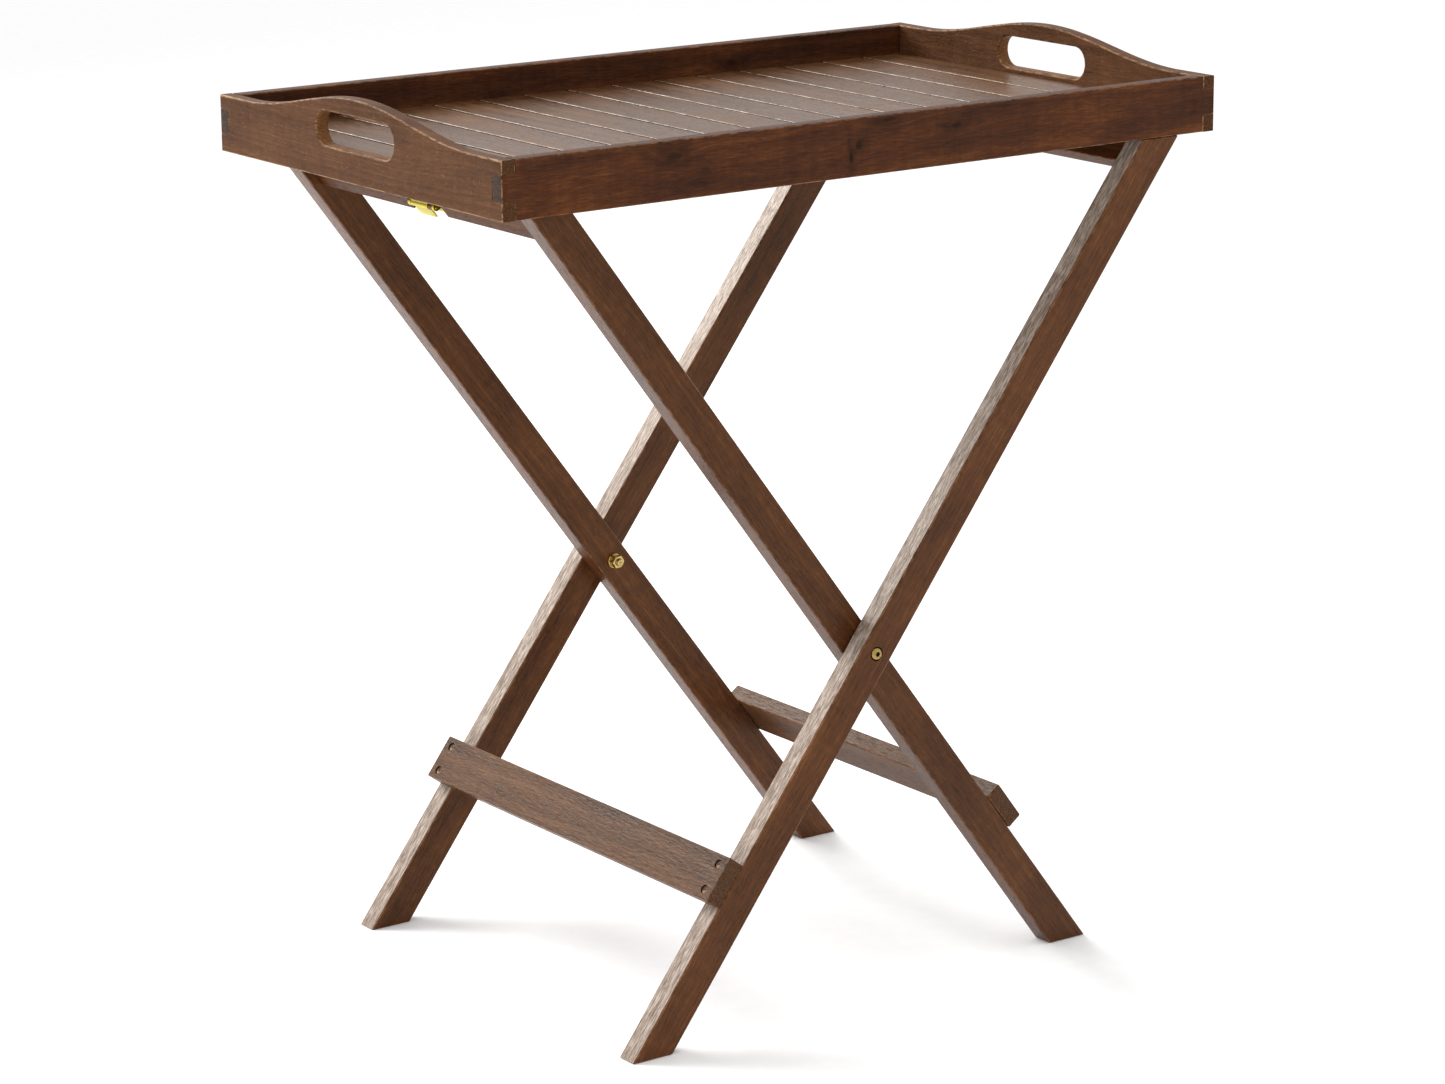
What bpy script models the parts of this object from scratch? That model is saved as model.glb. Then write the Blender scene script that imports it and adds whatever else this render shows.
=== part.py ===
"""Folding tray table: a removable slatted tray on a scissor stand of two leg frames.

Metres, +Z up, +X along the tray's length, -Y towards the front.
The origin is on the floor, under the middle of the tray.
"""
import math

import bmesh
import bpy
from mathutils import Vector

# ---------------------------------------------------------------- driving dimensions
CLEAR = 0.0003             # gap left between pieces that touch
ROUND_SIDES = 20
SMALL_SIDES = 12

TRAY_LENGTH = 0.688
TRAY_DEPTH = 0.412
RIM_TOP = 0.720
RIM_HEIGHT = 0.0455
LONG_BOARD = 0.013
END_BOARD = 0.012
FINGER_TOP = 0.0108        # the end board's upper finger
FINGER_BOTTOM = 0.0142     # and its lower one
HUMP_RISE = 0.020
HUMP_HALF_WIDTH = 0.165
HUMP_STEPS = 22
SLOT_LENGTH = 0.113
SLOT_HEIGHT = 0.0264
SLOT_DROP = 0.0071         # the hand slot's middle, below the rim's top
SLOT_END_STEPS = 8
SLAT_COUNT = 15
SLAT_GAP = 0.0024
SLAT_THICKNESS = 0.008
FLOOR_DROP = 0.0247        # from the rim's top to the floor's
LEDGER_WIDTH = 0.030
LATCH_BATTEN_SETBACK = 0.006
PEG_BATTEN_WIDTH = 0.028

KEEPER_EDGE = 0.3035       # how far the keeper's free edge is from the middle of the tray
KEEPER_LENGTH = 0.019
KEEPER_WIDTH = 0.034
KEEPER_SCREW_SETBACK = 0.005
KEEPER_SCREW_SPREAD = 0.0204
KEEPER_SCREW_HEAD = 0.0020
KEEPER_SCREW_SHANK = 0.0010
KEEPER_SCREW_CONE = 0.0009
KEEPER_SCREW_LENGTH = 0.0085

LEG_ANGLE = math.radians(53.0)
LEG_WIDTH = 0.030
LEG_THICKNESS = 0.020
STAND_DEPTH = 0.410
PIVOT_HEIGHT = 0.291
SPACER_THICKNESS = 0.0014

RAIL_THICKNESS = 0.015
RAIL_WIDTH = 0.0385
LOWER_RAIL_STATION = -0.2182
UPPER_RAIL_BOTTOM = 0.4496
TENON_LENGTH = 0.010
TENON_THICKNESS = 0.007
TENON_WIDTH = 0.016
TENON_SHOULDER = 0.005

RAIL_SCREW_SPREAD = 0.0225
RAIL_SCREW_HEAD_RADIUS = 0.0033
RAIL_SCREW_SHANK_RADIUS = 0.0017
RAIL_SCREW_SINK = 0.0013   # how deep the head lies below the wood
RAIL_SCREW_CONE = 0.0018
RAIL_SCREW_POINT = 0.006
RAIL_SCREW_LENGTH = 0.030

BOLT_RADIUS = 0.003
BOLT_HEAD_RADIUS = 0.00525
BOLT_HEAD_HEIGHT = 0.0033
BOLT_RECESS = 0.0022
BOLT_RECESS_SPARE = 0.0007
BOLT_SOCKET_FLATS = 0.004
BOLT_SOCKET_DEPTH = 0.002
BOLT_TAIL = 0.003          # the bolt's end, past the nut
WASHER_RADIUS = 0.0063
WASHER_THICKNESS = 0.0012
NUT_FLATS = 0.010
NUT_HEIGHT = 0.0058

PEG_RADIUS = 0.004
PEG_EMBED = 0.008
PEG_RISE = 0.010
PEG_BEVEL = 0.001
PEG_SPREAD = 0.200
PEG_X = 0.2862

CATCH_NOTCH_LENGTH = 0.048
CATCH_NOTCH_DEPTH = 0.0052
CATCH_PIN_STATION = 0.4586
CATCH_PIN_RADIUS = 0.0012
CATCH_BARREL_RADIUS = 0.0027
CATCH_LEVER_WIDTH = 0.024
CATCH_LEVER_Y = 0.005
CATCH_LEVER_PROUD = 0.0010
CATCH_TAB = 0.0024         # the lever's thumb tab, below the rail
CATCH_SHEET = 0.0015
CATCH_NOSE_LIFT = 0.0012   # play between the nose and the keeper
CATCH_NOSE_BITE = 0.0025   # how far the nose reaches over the keeper
CATCH_BASE_LENGTH = 0.039
CATCH_BASE_Y = 0.0025
CATCH_BASE_SHEET = 0.0012
CATCH_BASE_SETBACK = 0.0004
CATCH_BASE_HEIGHT = 0.0186
CATCH_EAR_HALF_WIDTH = 0.0030
CATCH_EAR_PROUD = 0.0018
CATCH_EAR_THICKNESS = 0.0028
CATCH_EAR_INSET = 0.0006
CATCH_SCREW_HEIGHT = 0.0155
CATCH_SCREW_SPREAD = 0.017
CATCH_SCREW_Y = 0.005
CATCH_SCREW_HEAD = 0.0015
CATCH_SCREW_SHANK = 0.0007
CATCH_SCREW_CONE = 0.0008
CATCH_SCREW_LENGTH = 0.0060
CATCH_SCREW_POINT = 0.0010
SPRING_WIRE = 0.0004
SPRING_TURNS = 3
SPRING_STEPS = 12
SPRING_END_GAP = 0.0009

# ---------------------------------------------------------------- derived places
RIM_BOTTOM = RIM_TOP - RIM_HEIGHT
FLOOR_TOP = RIM_TOP - FLOOR_DROP
FLOOR_UNDERSIDE = FLOOR_TOP - SLAT_THICKNESS
INNER_HALF_LENGTH = TRAY_LENGTH / 2 - END_BOARD - CLEAR
INNER_HALF_DEPTH = TRAY_DEPTH / 2 - LONG_BOARD - CLEAR
LEG_TOP = RIM_BOTTOM - CLEAR
OUTER_LEG_Y = STAND_DEPTH / 2 - LEG_THICKNESS / 2
INNER_LEG_Y = OUTER_LEG_Y - LEG_THICKNESS - SPACER_THICKNESS
PAST = 0.002               # how far a cutter stands out of the face that it opens

MIDDLE = (0.0, 0.0, 0.0)
NO_TURN = (0.0, 0.0, 0.0)
FACING_DOWN = (math.pi, 0.0, 0.0)
FACING_FRONT = (math.pi / 2, 0.0, 0.0)
FACING_END = (math.pi / 2, 0.0, math.pi / 2)
ENDS = (("front", -1), ("back", 1))


# ---------------------------------------------------------------- materials
def finish(name, colour, roughness, metallic):
    """A plain finish: a colour, how rough it is, and whether it is metal."""
    material = bpy.data.materials.new(name)
    material.use_nodes = True
    shader = material.node_tree.nodes["Principled BSDF"]
    shader.inputs["Base Color"].default_value = (*colour, 1.0)
    shader.inputs["Roughness"].default_value = roughness
    shader.inputs["Metallic"].default_value = metallic
    return material


# ---------------------------------------------------------------- modelling helpers
MERGE = 0.00001
SHARP_ANGLE = math.radians(35.0)


def start_empty_scene():
    """Take away whatever the new file opened with."""
    for thing in list(bpy.data.objects):
        bpy.data.objects.remove(thing, do_unlink=True)


def collection(name):
    """A new collection in the scene."""
    made = bpy.data.collections.new(name)
    bpy.context.scene.collection.children.link(made)
    return made


def place(thing, name, material, target):
    """Name an object, put it in one collection and give it its material."""
    thing.name = name
    for old in list(thing.users_collection):
        old.objects.unlink(thing)
    target.objects.link(thing)
    if material is not None:
        thing.data.materials.clear()
        thing.data.materials.append(material)
    return thing


def box(name, low, high, material=None, target=None):
    """A block between two corners, its origin at its centre."""
    shape = bmesh.new()
    bmesh.ops.create_cube(shape, size=1.0)
    size = Vector(high) - Vector(low)
    bmesh.ops.scale(shape, vec=size, verts=shape.verts)
    mesh = bpy.data.meshes.new(name)
    shape.to_mesh(mesh)
    shape.free()
    thing = bpy.data.objects.new(name, mesh)
    thing.location = (Vector(low) + Vector(high)) / 2
    return place(thing, name, material, target or PARTS)


def solid_from(guide, name):
    """A guide's evaluated shape as a closed mesh, smooth round its curves and sharp at its corners."""
    bpy.context.scene.collection.objects.link(guide)
    bpy.context.view_layer.update()
    evaluated = guide.evaluated_get(bpy.context.evaluated_depsgraph_get())
    mesh = bpy.data.meshes.new_from_object(evaluated)
    shape = bmesh.new()
    shape.from_mesh(mesh)
    bmesh.ops.remove_doubles(shape, verts=shape.verts, dist=MERGE)
    bmesh.ops.recalc_face_normals(shape, faces=shape.faces)
    shape.to_mesh(mesh)
    shape.free()
    mesh.shade_smooth()
    mesh.set_sharp_from_angle(angle=SHARP_ANGLE)
    thing = bpy.data.objects.new(name, mesh)
    thing.matrix_world = guide.matrix_world
    bpy.data.objects.remove(guide, do_unlink=True)
    return thing


def plate(name, loops, thickness, location, rotation, material=None, target=None):
    """A flat outline, with its holes, extruded evenly to both sides of its plane."""
    curve = bpy.data.curves.new(name, "CURVE")
    curve.dimensions = "2D"
    curve.fill_mode = "BOTH"
    curve.extrude = thickness / 2
    for loop in loops:
        spline = curve.splines.new("POLY")
        spline.points.add(len(loop) - 1)
        for point, (u, v) in zip(spline.points, loop):
            point.co = (u, v, 0.0, 1.0)
        spline.use_cyclic_u = True
    guide = bpy.data.objects.new(name + "_outline", curve)
    guide.location = location
    guide.rotation_euler = rotation
    return place(solid_from(guide, name), name, material, target or PARTS)


def turned(name, profile, location, rotation, material=None, target=None, sides=ROUND_SIDES):
    """A turned piece: a profile of (radius, height) from its top down, spun about local Z."""
    outline = bpy.data.meshes.new(name + "_profile")
    points = [(radius, 0.0, height) for radius, height in profile]
    edges = [(index, index + 1) for index in range(len(points) - 1)]
    outline.from_pydata(points, edges, [])
    guide = bpy.data.objects.new(name + "_profile", outline)
    guide.location = location
    guide.rotation_euler = rotation
    spin = guide.modifiers.new("Spin", "SCREW")
    spin.steps = sides
    spin.render_steps = sides
    spin.use_merge_vertices = True
    spin.merge_threshold = MERGE
    return place(solid_from(guide, name), name, material, target or PARTS)


def cut(thing, cutter):
    """Take a cutter's shape out of a piece."""
    cutter.hide_render = True
    cutter.display_type = "WIRE"
    hole = thing.modifiers.new("Cut", "BOOLEAN")
    hole.operation = "DIFFERENCE"
    hole.solver = "EXACT"
    hole.object = cutter


def join(thing, extra):
    """Make another shape one with a piece."""
    extra.hide_render = True
    extra.display_type = "WIRE"
    union = thing.modifiers.new("Join", "BOOLEAN")
    union.operation = "UNION"
    union.solver = "EXACT"
    union.object = extra


def hang_on(empty, things):
    """Let pieces move with an empty, without moving them now."""
    for thing in things:
        thing.parent = empty
        thing.matrix_parent_inverse = empty.matrix_world.inverted()


def axis_empty(name, location):
    """An empty on the axis that its pieces turn about."""
    empty = bpy.data.objects.new(name, None)
    empty.location = location
    empty.empty_display_size = 0.03
    PARTS.objects.link(empty)
    bpy.context.view_layer.update()
    return empty


# ---------------------------------------------------------------- the leg's own directions
def along(lean, station, offset=0.0):
    """A point (x, z) on a leg's line: station runs up the leg from the pivot.

    lean is +1 for a leg whose top goes to +X and -1 for one whose top goes to -X.
    offset is towards the leg's upper face on the outer frame, and lower face on the inner.
    """
    run = (lean * math.cos(LEG_ANGLE), math.sin(LEG_ANGLE))
    side = (-run[1], run[0])
    x = station * run[0] + offset * side[0]
    z = PIVOT_HEIGHT + station * run[1] + offset * side[1]
    return x, z


def station_at(lean, height, offset):
    """How far up the leg a line at this offset meets a height."""
    return (height - PIVOT_HEIGHT - offset * lean * math.cos(LEG_ANGLE)) / math.sin(LEG_ANGLE)


def slanted_bar(lean, low, high, half_width):
    """The four corners (x, z) of a leg cut level at both ends."""
    corners = []
    for height, offset in ((low, half_width), (low, -half_width), (high, -half_width), (high, half_width)):
        corners.append(along(lean, station_at(lean, height, offset), offset))
    return corners


start_empty_scene()
PARTS = collection("folding_tray_table")
CUTTERS = collection("cutters")

RIM_WOOD = finish("rim_wood", (0.105, 0.040, 0.020), 0.45, 0.0)
SLAT_WOOD = finish("slat_wood", (0.130, 0.062, 0.036), 0.45, 0.0)
LEG_WOOD = finish("leg_wood", (0.100, 0.044, 0.025), 0.45, 0.0)
HIDDEN_WOOD = finish("hidden_wood", (0.150, 0.080, 0.045), 0.60, 0.0)
BRASS = finish("brass", (0.620, 0.430, 0.130), 0.30, 1.0)
SCREW_STEEL = finish("screw_steel", (0.090, 0.075, 0.060), 0.40, 1.0)


# ---------------------------------------------------------------- tray rim
def long_board_outline():
    """Full length only along the middle finger; the end boards' fingers take the rest."""
    end = TRAY_LENGTH / 2
    root = end - END_BOARD - CLEAR
    finger_high = RIM_TOP - FINGER_TOP - CLEAR / 2
    finger_low = RIM_BOTTOM + FINGER_BOTTOM + CLEAR / 2
    right = [(root, RIM_BOTTOM), (root, finger_low), (end, finger_low)]
    right += [(end, finger_high), (root, finger_high), (root, RIM_TOP)]
    left = [(-x, z) for x, z in reversed(right)]
    return right + left


def hump(y):
    """How far the end board's top stands above the rim at y."""
    if abs(y) >= HUMP_HALF_WIDTH:
        return 0.0
    return HUMP_RISE * 0.5 * (1 + math.cos(math.pi * y / HUMP_HALF_WIDTH))


def end_board_outline():
    """Straight at the corners, a rounded hump between, and a gap for the long board's finger."""
    end = TRAY_DEPTH / 2
    root = end - LONG_BOARD - CLEAR
    finger_high = RIM_TOP - FINGER_TOP + CLEAR / 2
    finger_low = RIM_BOTTOM + FINGER_BOTTOM - CLEAR / 2
    front = [(-end, RIM_TOP), (-end, finger_high), (-root, finger_high)]
    front += [(-root, finger_low), (-end, finger_low), (-end, RIM_BOTTOM)]
    back = [(-y, z) for y, z in reversed(front)]
    crest = []
    for step in range(HUMP_STEPS + 1):
        y = HUMP_HALF_WIDTH * (1 - 2 * step / HUMP_STEPS)
        crest.append((y, RIM_TOP + hump(y)))
    return front + back + crest


def slot_outline():
    """The hand slot: two straight sides joined by half circles."""
    radius = SLOT_HEIGHT / 2
    reach = SLOT_LENGTH / 2 - radius
    middle = RIM_TOP - SLOT_DROP
    points = []
    for side in (1, -1):
        for step in range(SLOT_END_STEPS + 1):
            turn = -math.pi / 2 + math.pi * step / SLOT_END_STEPS
            y = side * (reach + radius * math.cos(turn))
            points.append((y, middle + side * radius * math.sin(turn)))
    return points


tray = axis_empty("tray_origin", (0.0, 0.0, RIM_BOTTOM))
tray_pieces = []
for name, side in ENDS:
    y = side * (TRAY_DEPTH / 2 - LONG_BOARD / 2)
    tray_pieces.append(plate("long_side_" + name, [long_board_outline()], LONG_BOARD,
                             (0.0, y, 0.0), FACING_FRONT, RIM_WOOD))
for name, side in (("left", -1), ("right", 1)):
    x = side * (TRAY_LENGTH / 2 - END_BOARD / 2)
    tray_pieces.append(plate("end_board_" + name, [end_board_outline(), slot_outline()], END_BOARD,
                             (x, 0.0, 0.0), FACING_END, RIM_WOOD))

# ---------------------------------------------------------------- tray floor
slat_pitch = (2 * INNER_HALF_LENGTH + SLAT_GAP) / SLAT_COUNT
slat_width = slat_pitch - SLAT_GAP
for number in range(SLAT_COUNT):
    left = -INNER_HALF_LENGTH + number * slat_pitch
    tray_pieces.append(box("slat_%02d" % (number + 1), (left, -INNER_HALF_DEPTH, FLOOR_UNDERSIDE),
                           (left + slat_width, INNER_HALF_DEPTH, FLOOR_TOP), SLAT_WOOD))

ledger_inner = INNER_HALF_DEPTH - LEDGER_WIDTH
for name, side in ENDS:
    near, far = sorted((side * ledger_inner, side * INNER_HALF_DEPTH))
    tray_pieces.append(box("floor_ledger_" + name, (-INNER_HALF_LENGTH, near, RIM_BOTTOM),
                           (INNER_HALF_LENGTH, far, FLOOR_UNDERSIDE - CLEAR), HIDDEN_WOOD))

batten_half = ledger_inner - CLEAR
keeper_top = RIM_BOTTOM + CLEAR + CATCH_SHEET
keeper_back = -KEEPER_EDGE - KEEPER_LENGTH
latch_batten = box("latch_batten", (-INNER_HALF_LENGTH, -batten_half, RIM_BOTTOM),
                   (-KEEPER_EDGE - LATCH_BATTEN_SETBACK, batten_half, FLOOR_UNDERSIDE - CLEAR), HIDDEN_WOOD)
keeper = box("catch_keeper", (keeper_back, -KEEPER_WIDTH / 2, RIM_BOTTOM + CLEAR),
             (-KEEPER_EDGE, KEEPER_WIDTH / 2, keeper_top), BRASS)
rebate = box("keeper_rebate", (keeper_back - CLEAR, -KEEPER_WIDTH / 2 - CLEAR, RIM_BOTTOM - PAST),
             (-KEEPER_EDGE + CLEAR, KEEPER_WIDTH / 2 + CLEAR, keeper_top + CLEAR), target=CUTTERS)
cut(latch_batten, rebate)
peg_batten = box("peg_batten", (PEG_X - PEG_BATTEN_WIDTH / 2, -batten_half, RIM_BOTTOM),
                 (PEG_X + PEG_BATTEN_WIDTH / 2, batten_half, FLOOR_UNDERSIDE - CLEAR), HIDDEN_WOOD)
tray_pieces += [latch_batten, keeper, peg_batten]


def countersunk(head, shank, sink, cone, length, point):
    """A screw's profile from its head down; its axis is z, and the wood's surface is z = 0."""
    return [(0.0, -sink), (head, -sink), (shank, -sink - cone), (shank, -length + point), (0.0, -length)]


def screw_hole(head, shank, sink, cone, length):
    """The hole for such a screw, CLEAR wider all round."""
    head += CLEAR
    shank += CLEAR
    low = -length - CLEAR
    return [(0.0, PAST), (head, PAST), (head, -sink - CLEAR), (shank, -sink - cone - 2 * CLEAR), (shank, low),
            (0.0, low)]


keeper_hole = screw_hole(KEEPER_SCREW_HEAD, KEEPER_SCREW_SHANK, 0.0, KEEPER_SCREW_CONE, KEEPER_SCREW_LENGTH)
keeper_screw = countersunk(KEEPER_SCREW_HEAD, KEEPER_SCREW_SHANK, 0.0, KEEPER_SCREW_CONE, KEEPER_SCREW_LENGTH,
                           CLEAR)
for name, side in ENDS:
    spot = (keeper_back + KEEPER_SCREW_SETBACK, side * KEEPER_SCREW_SPREAD / 2, RIM_BOTTOM + CLEAR)
    cutter = turned("keeper_hole_" + name, keeper_hole, spot, FACING_DOWN, target=CUTTERS, sides=SMALL_SIDES)
    cut(keeper, cutter)
    cut(latch_batten, cutter)
    tray_pieces.append(turned("keeper_screw_" + name, keeper_screw, spot, FACING_DOWN, BRASS,
                              sides=SMALL_SIDES))

# ---------------------------------------------------------------- legs
# each frame's name, which way it leans, and its legs' place in Y
FRAMES = (("outer", 1, OUTER_LEG_Y), ("inner", -1, INNER_LEG_Y))
leg_outline = {lean: slanted_bar(lean, 0.0, LEG_TOP, LEG_WIDTH / 2) for lean in (1, -1)}
legs = {}
for frame, lean, y in FRAMES:
    for name, side in ENDS:
        corners = [(x, z - PIVOT_HEIGHT) for x, z in leg_outline[lean]]
        legs[frame, name] = plate("leg_%s_%s" % (frame, name), [corners], LEG_THICKNESS,
                                  (0.0, side * y, PIVOT_HEIGHT), FACING_FRONT, LEG_WOOD)


# ---------------------------------------------------------------- rails
def rail_section(lean, bottom, top, low_offset, high_offset, level_top):
    """A rail's section (x, z): square to the leg, or cut level with the leg tops."""
    points = [along(lean, bottom, high_offset), along(lean, bottom, low_offset)]
    for offset in (low_offset, high_offset):
        station = station_at(lean, LEG_TOP, offset) if level_top else top
        points.append(along(lean, station, offset))
    return points


half_rail = RAIL_THICKNESS / 2
face = LEG_WIDTH / 2 + CLEAR
rails = {}
for frame, lean, y in FRAMES:
    low, high = sorted((lean * face, lean * (face + RAIL_THICKNESS)))
    section = rail_section(lean, LOWER_RAIL_STATION - RAIL_WIDTH / 2, LOWER_RAIL_STATION + RAIL_WIDTH / 2,
                           low, high, False)
    rails["lower", frame] = plate("lower_rail_" + frame, [section], 2 * y + LEG_THICKNESS,
                                  MIDDLE, FACING_FRONT, LEG_WOOD)
    section = rail_section(lean, UPPER_RAIL_BOTTOM, None, -half_rail, half_rail, True)
    upper = plate("upper_rail_" + frame, [section], 2 * y - LEG_THICKNESS - 2 * CLEAR,
                  MIDDLE, FACING_FRONT, LEG_WOOD)
    rails["upper", frame] = upper
    tenon_low = UPPER_RAIL_BOTTOM + TENON_SHOULDER
    tenon = rail_section(lean, tenon_low, tenon_low + TENON_WIDTH,
                         -TENON_THICKNESS / 2, TENON_THICKNESS / 2, False)
    reach = 2 * y - LEG_THICKNESS + 2 * TENON_LENGTH
    join(upper, plate("tenon_" + frame, [tenon], reach, MIDDLE, FACING_FRONT, target=CUTTERS))
    mortise = rail_section(lean, tenon_low - CLEAR, tenon_low + TENON_WIDTH + CLEAR,
                           -TENON_THICKNESS / 2 - CLEAR, TENON_THICKNESS / 2 + CLEAR, False)
    pocket = plate("mortise_" + frame, [mortise], reach + 2 * CLEAR, MIDDLE, FACING_FRONT, target=CUTTERS)
    for name in ("front", "back"):
        cut(legs[frame, name], pocket)

# ---------------------------------------------------------------- rail screws
screws = {"outer": [], "inner": []}
rail_screw = countersunk(RAIL_SCREW_HEAD_RADIUS, RAIL_SCREW_SHANK_RADIUS, RAIL_SCREW_SINK, RAIL_SCREW_CONE,
                         RAIL_SCREW_LENGTH, RAIL_SCREW_POINT)
rail_screw_hole = screw_hole(RAIL_SCREW_HEAD_RADIUS, RAIL_SCREW_SHANK_RADIUS, RAIL_SCREW_SINK,
                             RAIL_SCREW_CONE, RAIL_SCREW_LENGTH)
for frame, lean, y in FRAMES:
    surface = lean * (face + RAIL_THICKNESS)
    for name, side in ENDS:
        for level, step in (("low", -1), ("high", 1)):
            x, z = along(lean, LOWER_RAIL_STATION + step * RAIL_SCREW_SPREAD / 2, surface)
            spot = (x, side * y, z)
            turn = (0.0, -lean * LEG_ANGLE, 0.0)
            label = "%s_%s_%s" % (frame, name, level)
            cutter = turned("screw_hole_" + label, rail_screw_hole, spot, turn, target=CUTTERS,
                            sides=SMALL_SIDES)
            cut(rails["lower", frame], cutter)
            cut(legs[frame, name], cutter)
            screws[frame].append(turned("rail_screw_" + label, rail_screw, spot, turn, SCREW_STEEL,
                                        sides=SMALL_SIDES))


# ---------------------------------------------------------------- pivots
def circle(radius, sides=ROUND_SIDES):
    """Points round a circle; six sides make a nut's outline."""
    turns = [2 * math.pi * k / sides for k in range(sides)]
    return [(radius * math.cos(turn), radius * math.sin(turn)) for turn in turns]


def hexagon(across_flats):
    """A nut's outline."""
    return circle(across_flats / math.sqrt(3), 6)


def button_head(radius, height, seat):
    """The dome of a button-head bolt, from its flat top to its seat, as (radius, height)."""
    steps = 4
    flat = 0.55 * radius
    dome = []
    for step in range(steps + 1):
        turn = math.pi / 2 * step / steps
        dome.append((flat + (radius - flat) * math.sin(turn), seat + height * math.cos(turn)))
    return dome


pivot_pieces = []
outer_skin = STAND_DEPTH / 2
inner_skin = INNER_LEG_Y - LEG_THICKNESS / 2
grip = outer_skin - inner_skin
seat = -BOLT_RECESS + CLEAR
tail = -grip - WASHER_THICKNESS - NUT_HEIGHT - BOLT_TAIL
dome = button_head(BOLT_HEAD_RADIUS, BOLT_HEAD_HEIGHT, seat)
bolt_profile = [(0.0, dome[0][1])] + dome + [(BOLT_RADIUS, seat), (BOLT_RADIUS, tail), (0.0, tail)]
recess_radius = BOLT_HEAD_RADIUS + BOLT_RECESS_SPARE
bore_radius = BOLT_RADIUS + CLEAR
hole_profile = [(0.0, PAST), (recess_radius, PAST), (recess_radius, -BOLT_RECESS),
                (bore_radius, -BOLT_RECESS), (bore_radius, -grip - PAST), (0.0, -grip - PAST)]
spacer_y = OUTER_LEG_Y - LEG_THICKNESS / 2 - SPACER_THICKNESS / 2
washer_y = inner_skin - CLEAR - WASHER_THICKNESS / 2
nut_y = inner_skin - 2 * CLEAR - WASHER_THICKNESS - NUT_HEIGHT / 2
rings = (("pivot_spacer_", circle(WASHER_RADIUS), spacer_y, SPACER_THICKNESS - 2 * CLEAR),
         ("pivot_washer_", circle(WASHER_RADIUS), washer_y, WASHER_THICKNESS),
         ("pivot_nut_", hexagon(NUT_FLATS), nut_y, NUT_HEIGHT))
for name, side in ENDS:
    turn = (-side * math.pi / 2, 0.0, 0.0)
    spot = (0.0, side * outer_skin, PIVOT_HEIGHT)
    bolt = turned("pivot_bolt_" + name, bolt_profile, spot, turn, BRASS)
    head_face = (0.0, side * (outer_skin + dome[0][1]), PIVOT_HEIGHT)
    cut(bolt, plate("bolt_socket_" + name, [hexagon(BOLT_SOCKET_FLATS)], 2 * BOLT_SOCKET_DEPTH, head_face,
                    FACING_FRONT, target=CUTTERS))
    hole = turned("pivot_hole_" + name, hole_profile, spot, turn, target=CUTTERS)
    cut(legs["outer", name], hole)
    cut(legs["inner", name], hole)
    pivot_pieces.append(bolt)
    for label, outline, y, thickness in rings:
        pivot_pieces.append(plate(label + name, [outline, circle(bore_radius)], thickness,
                                  (0.0, side * y, PIVOT_HEIGHT), FACING_FRONT, BRASS))

# ---------------------------------------------------------------- locating pegs
pegs = []
peg_low = -PEG_EMBED + CLEAR
peg_profile = [(0.0, PEG_RISE), (PEG_RADIUS - PEG_BEVEL, PEG_RISE), (PEG_RADIUS, PEG_RISE - PEG_BEVEL),
               (PEG_RADIUS, peg_low), (0.0, peg_low)]
peg_hole = [(0.0, 2 * PEG_RISE), (PEG_RADIUS + CLEAR, 2 * PEG_RISE), (PEG_RADIUS + CLEAR, -PEG_EMBED),
            (0.0, -PEG_EMBED)]
for name, side in ENDS:
    spot = (PEG_X, side * PEG_SPREAD / 2, LEG_TOP)
    cutter = turned("peg_hole_" + name, peg_hole, spot, NO_TURN, target=CUTTERS)
    cut(rails["upper", "outer"], cutter)
    cut(peg_batten, cutter)
    pegs.append(turned("locating_peg_" + name, peg_profile, spot, NO_TURN, HIDDEN_WOOD))


# ---------------------------------------------------------------- brass catch on the inner upper rail
def catch_section(low, high, inner, outer):
    """A block's section (x, z) on the inner rail, between two stations and two offsets."""
    return [along(-1, low, inner), along(-1, high, inner), along(-1, high, outer), along(-1, low, outer)]


def across(name, section, low, high, target, material=None):
    """A section of the catch carried along Y between two places."""
    middle = (0.0, (low + high) / 2, 0.0)
    return plate(name, [section], high - low, middle, FACING_FRONT, material, target)


notch_floor = half_rail - CATCH_NOTCH_DEPTH
lever_skin = half_rail + CATCH_LEVER_PROUD
lever_back = lever_skin - CATCH_SHEET
pin_x, pin_z = along(-1, CATCH_PIN_STATION, (lever_skin + lever_back) / 2)
lever_front = CATCH_LEVER_Y - CATCH_LEVER_WIDTH / 2
lever_rear = CATCH_LEVER_Y + CATCH_LEVER_WIDTH / 2
base_front = CATCH_BASE_Y - CATCH_BASE_LENGTH / 2
base_rear = CATCH_BASE_Y + CATCH_BASE_LENGTH / 2
base_low = UPPER_RAIL_BOTTOM + CATCH_BASE_SETBACK
base_face = notch_floor + CLEAR + CATCH_BASE_SHEET

notch_section = catch_section(UPPER_RAIL_BOTTOM - PAST, UPPER_RAIL_BOTTOM + RAIL_WIDTH, notch_floor,
                              half_rail + PAST)
notch = across("catch_notch", notch_section, -CATCH_NOTCH_LENGTH / 2, CATCH_NOTCH_LENGTH / 2, CUTTERS)
cut(rails["upper", "inner"], notch)


def pin_circle(radius):
    """A circle round the catch's pin."""
    return [(pin_x + u, pin_z + v) for u, v in circle(radius, SMALL_SIDES)]


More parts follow.
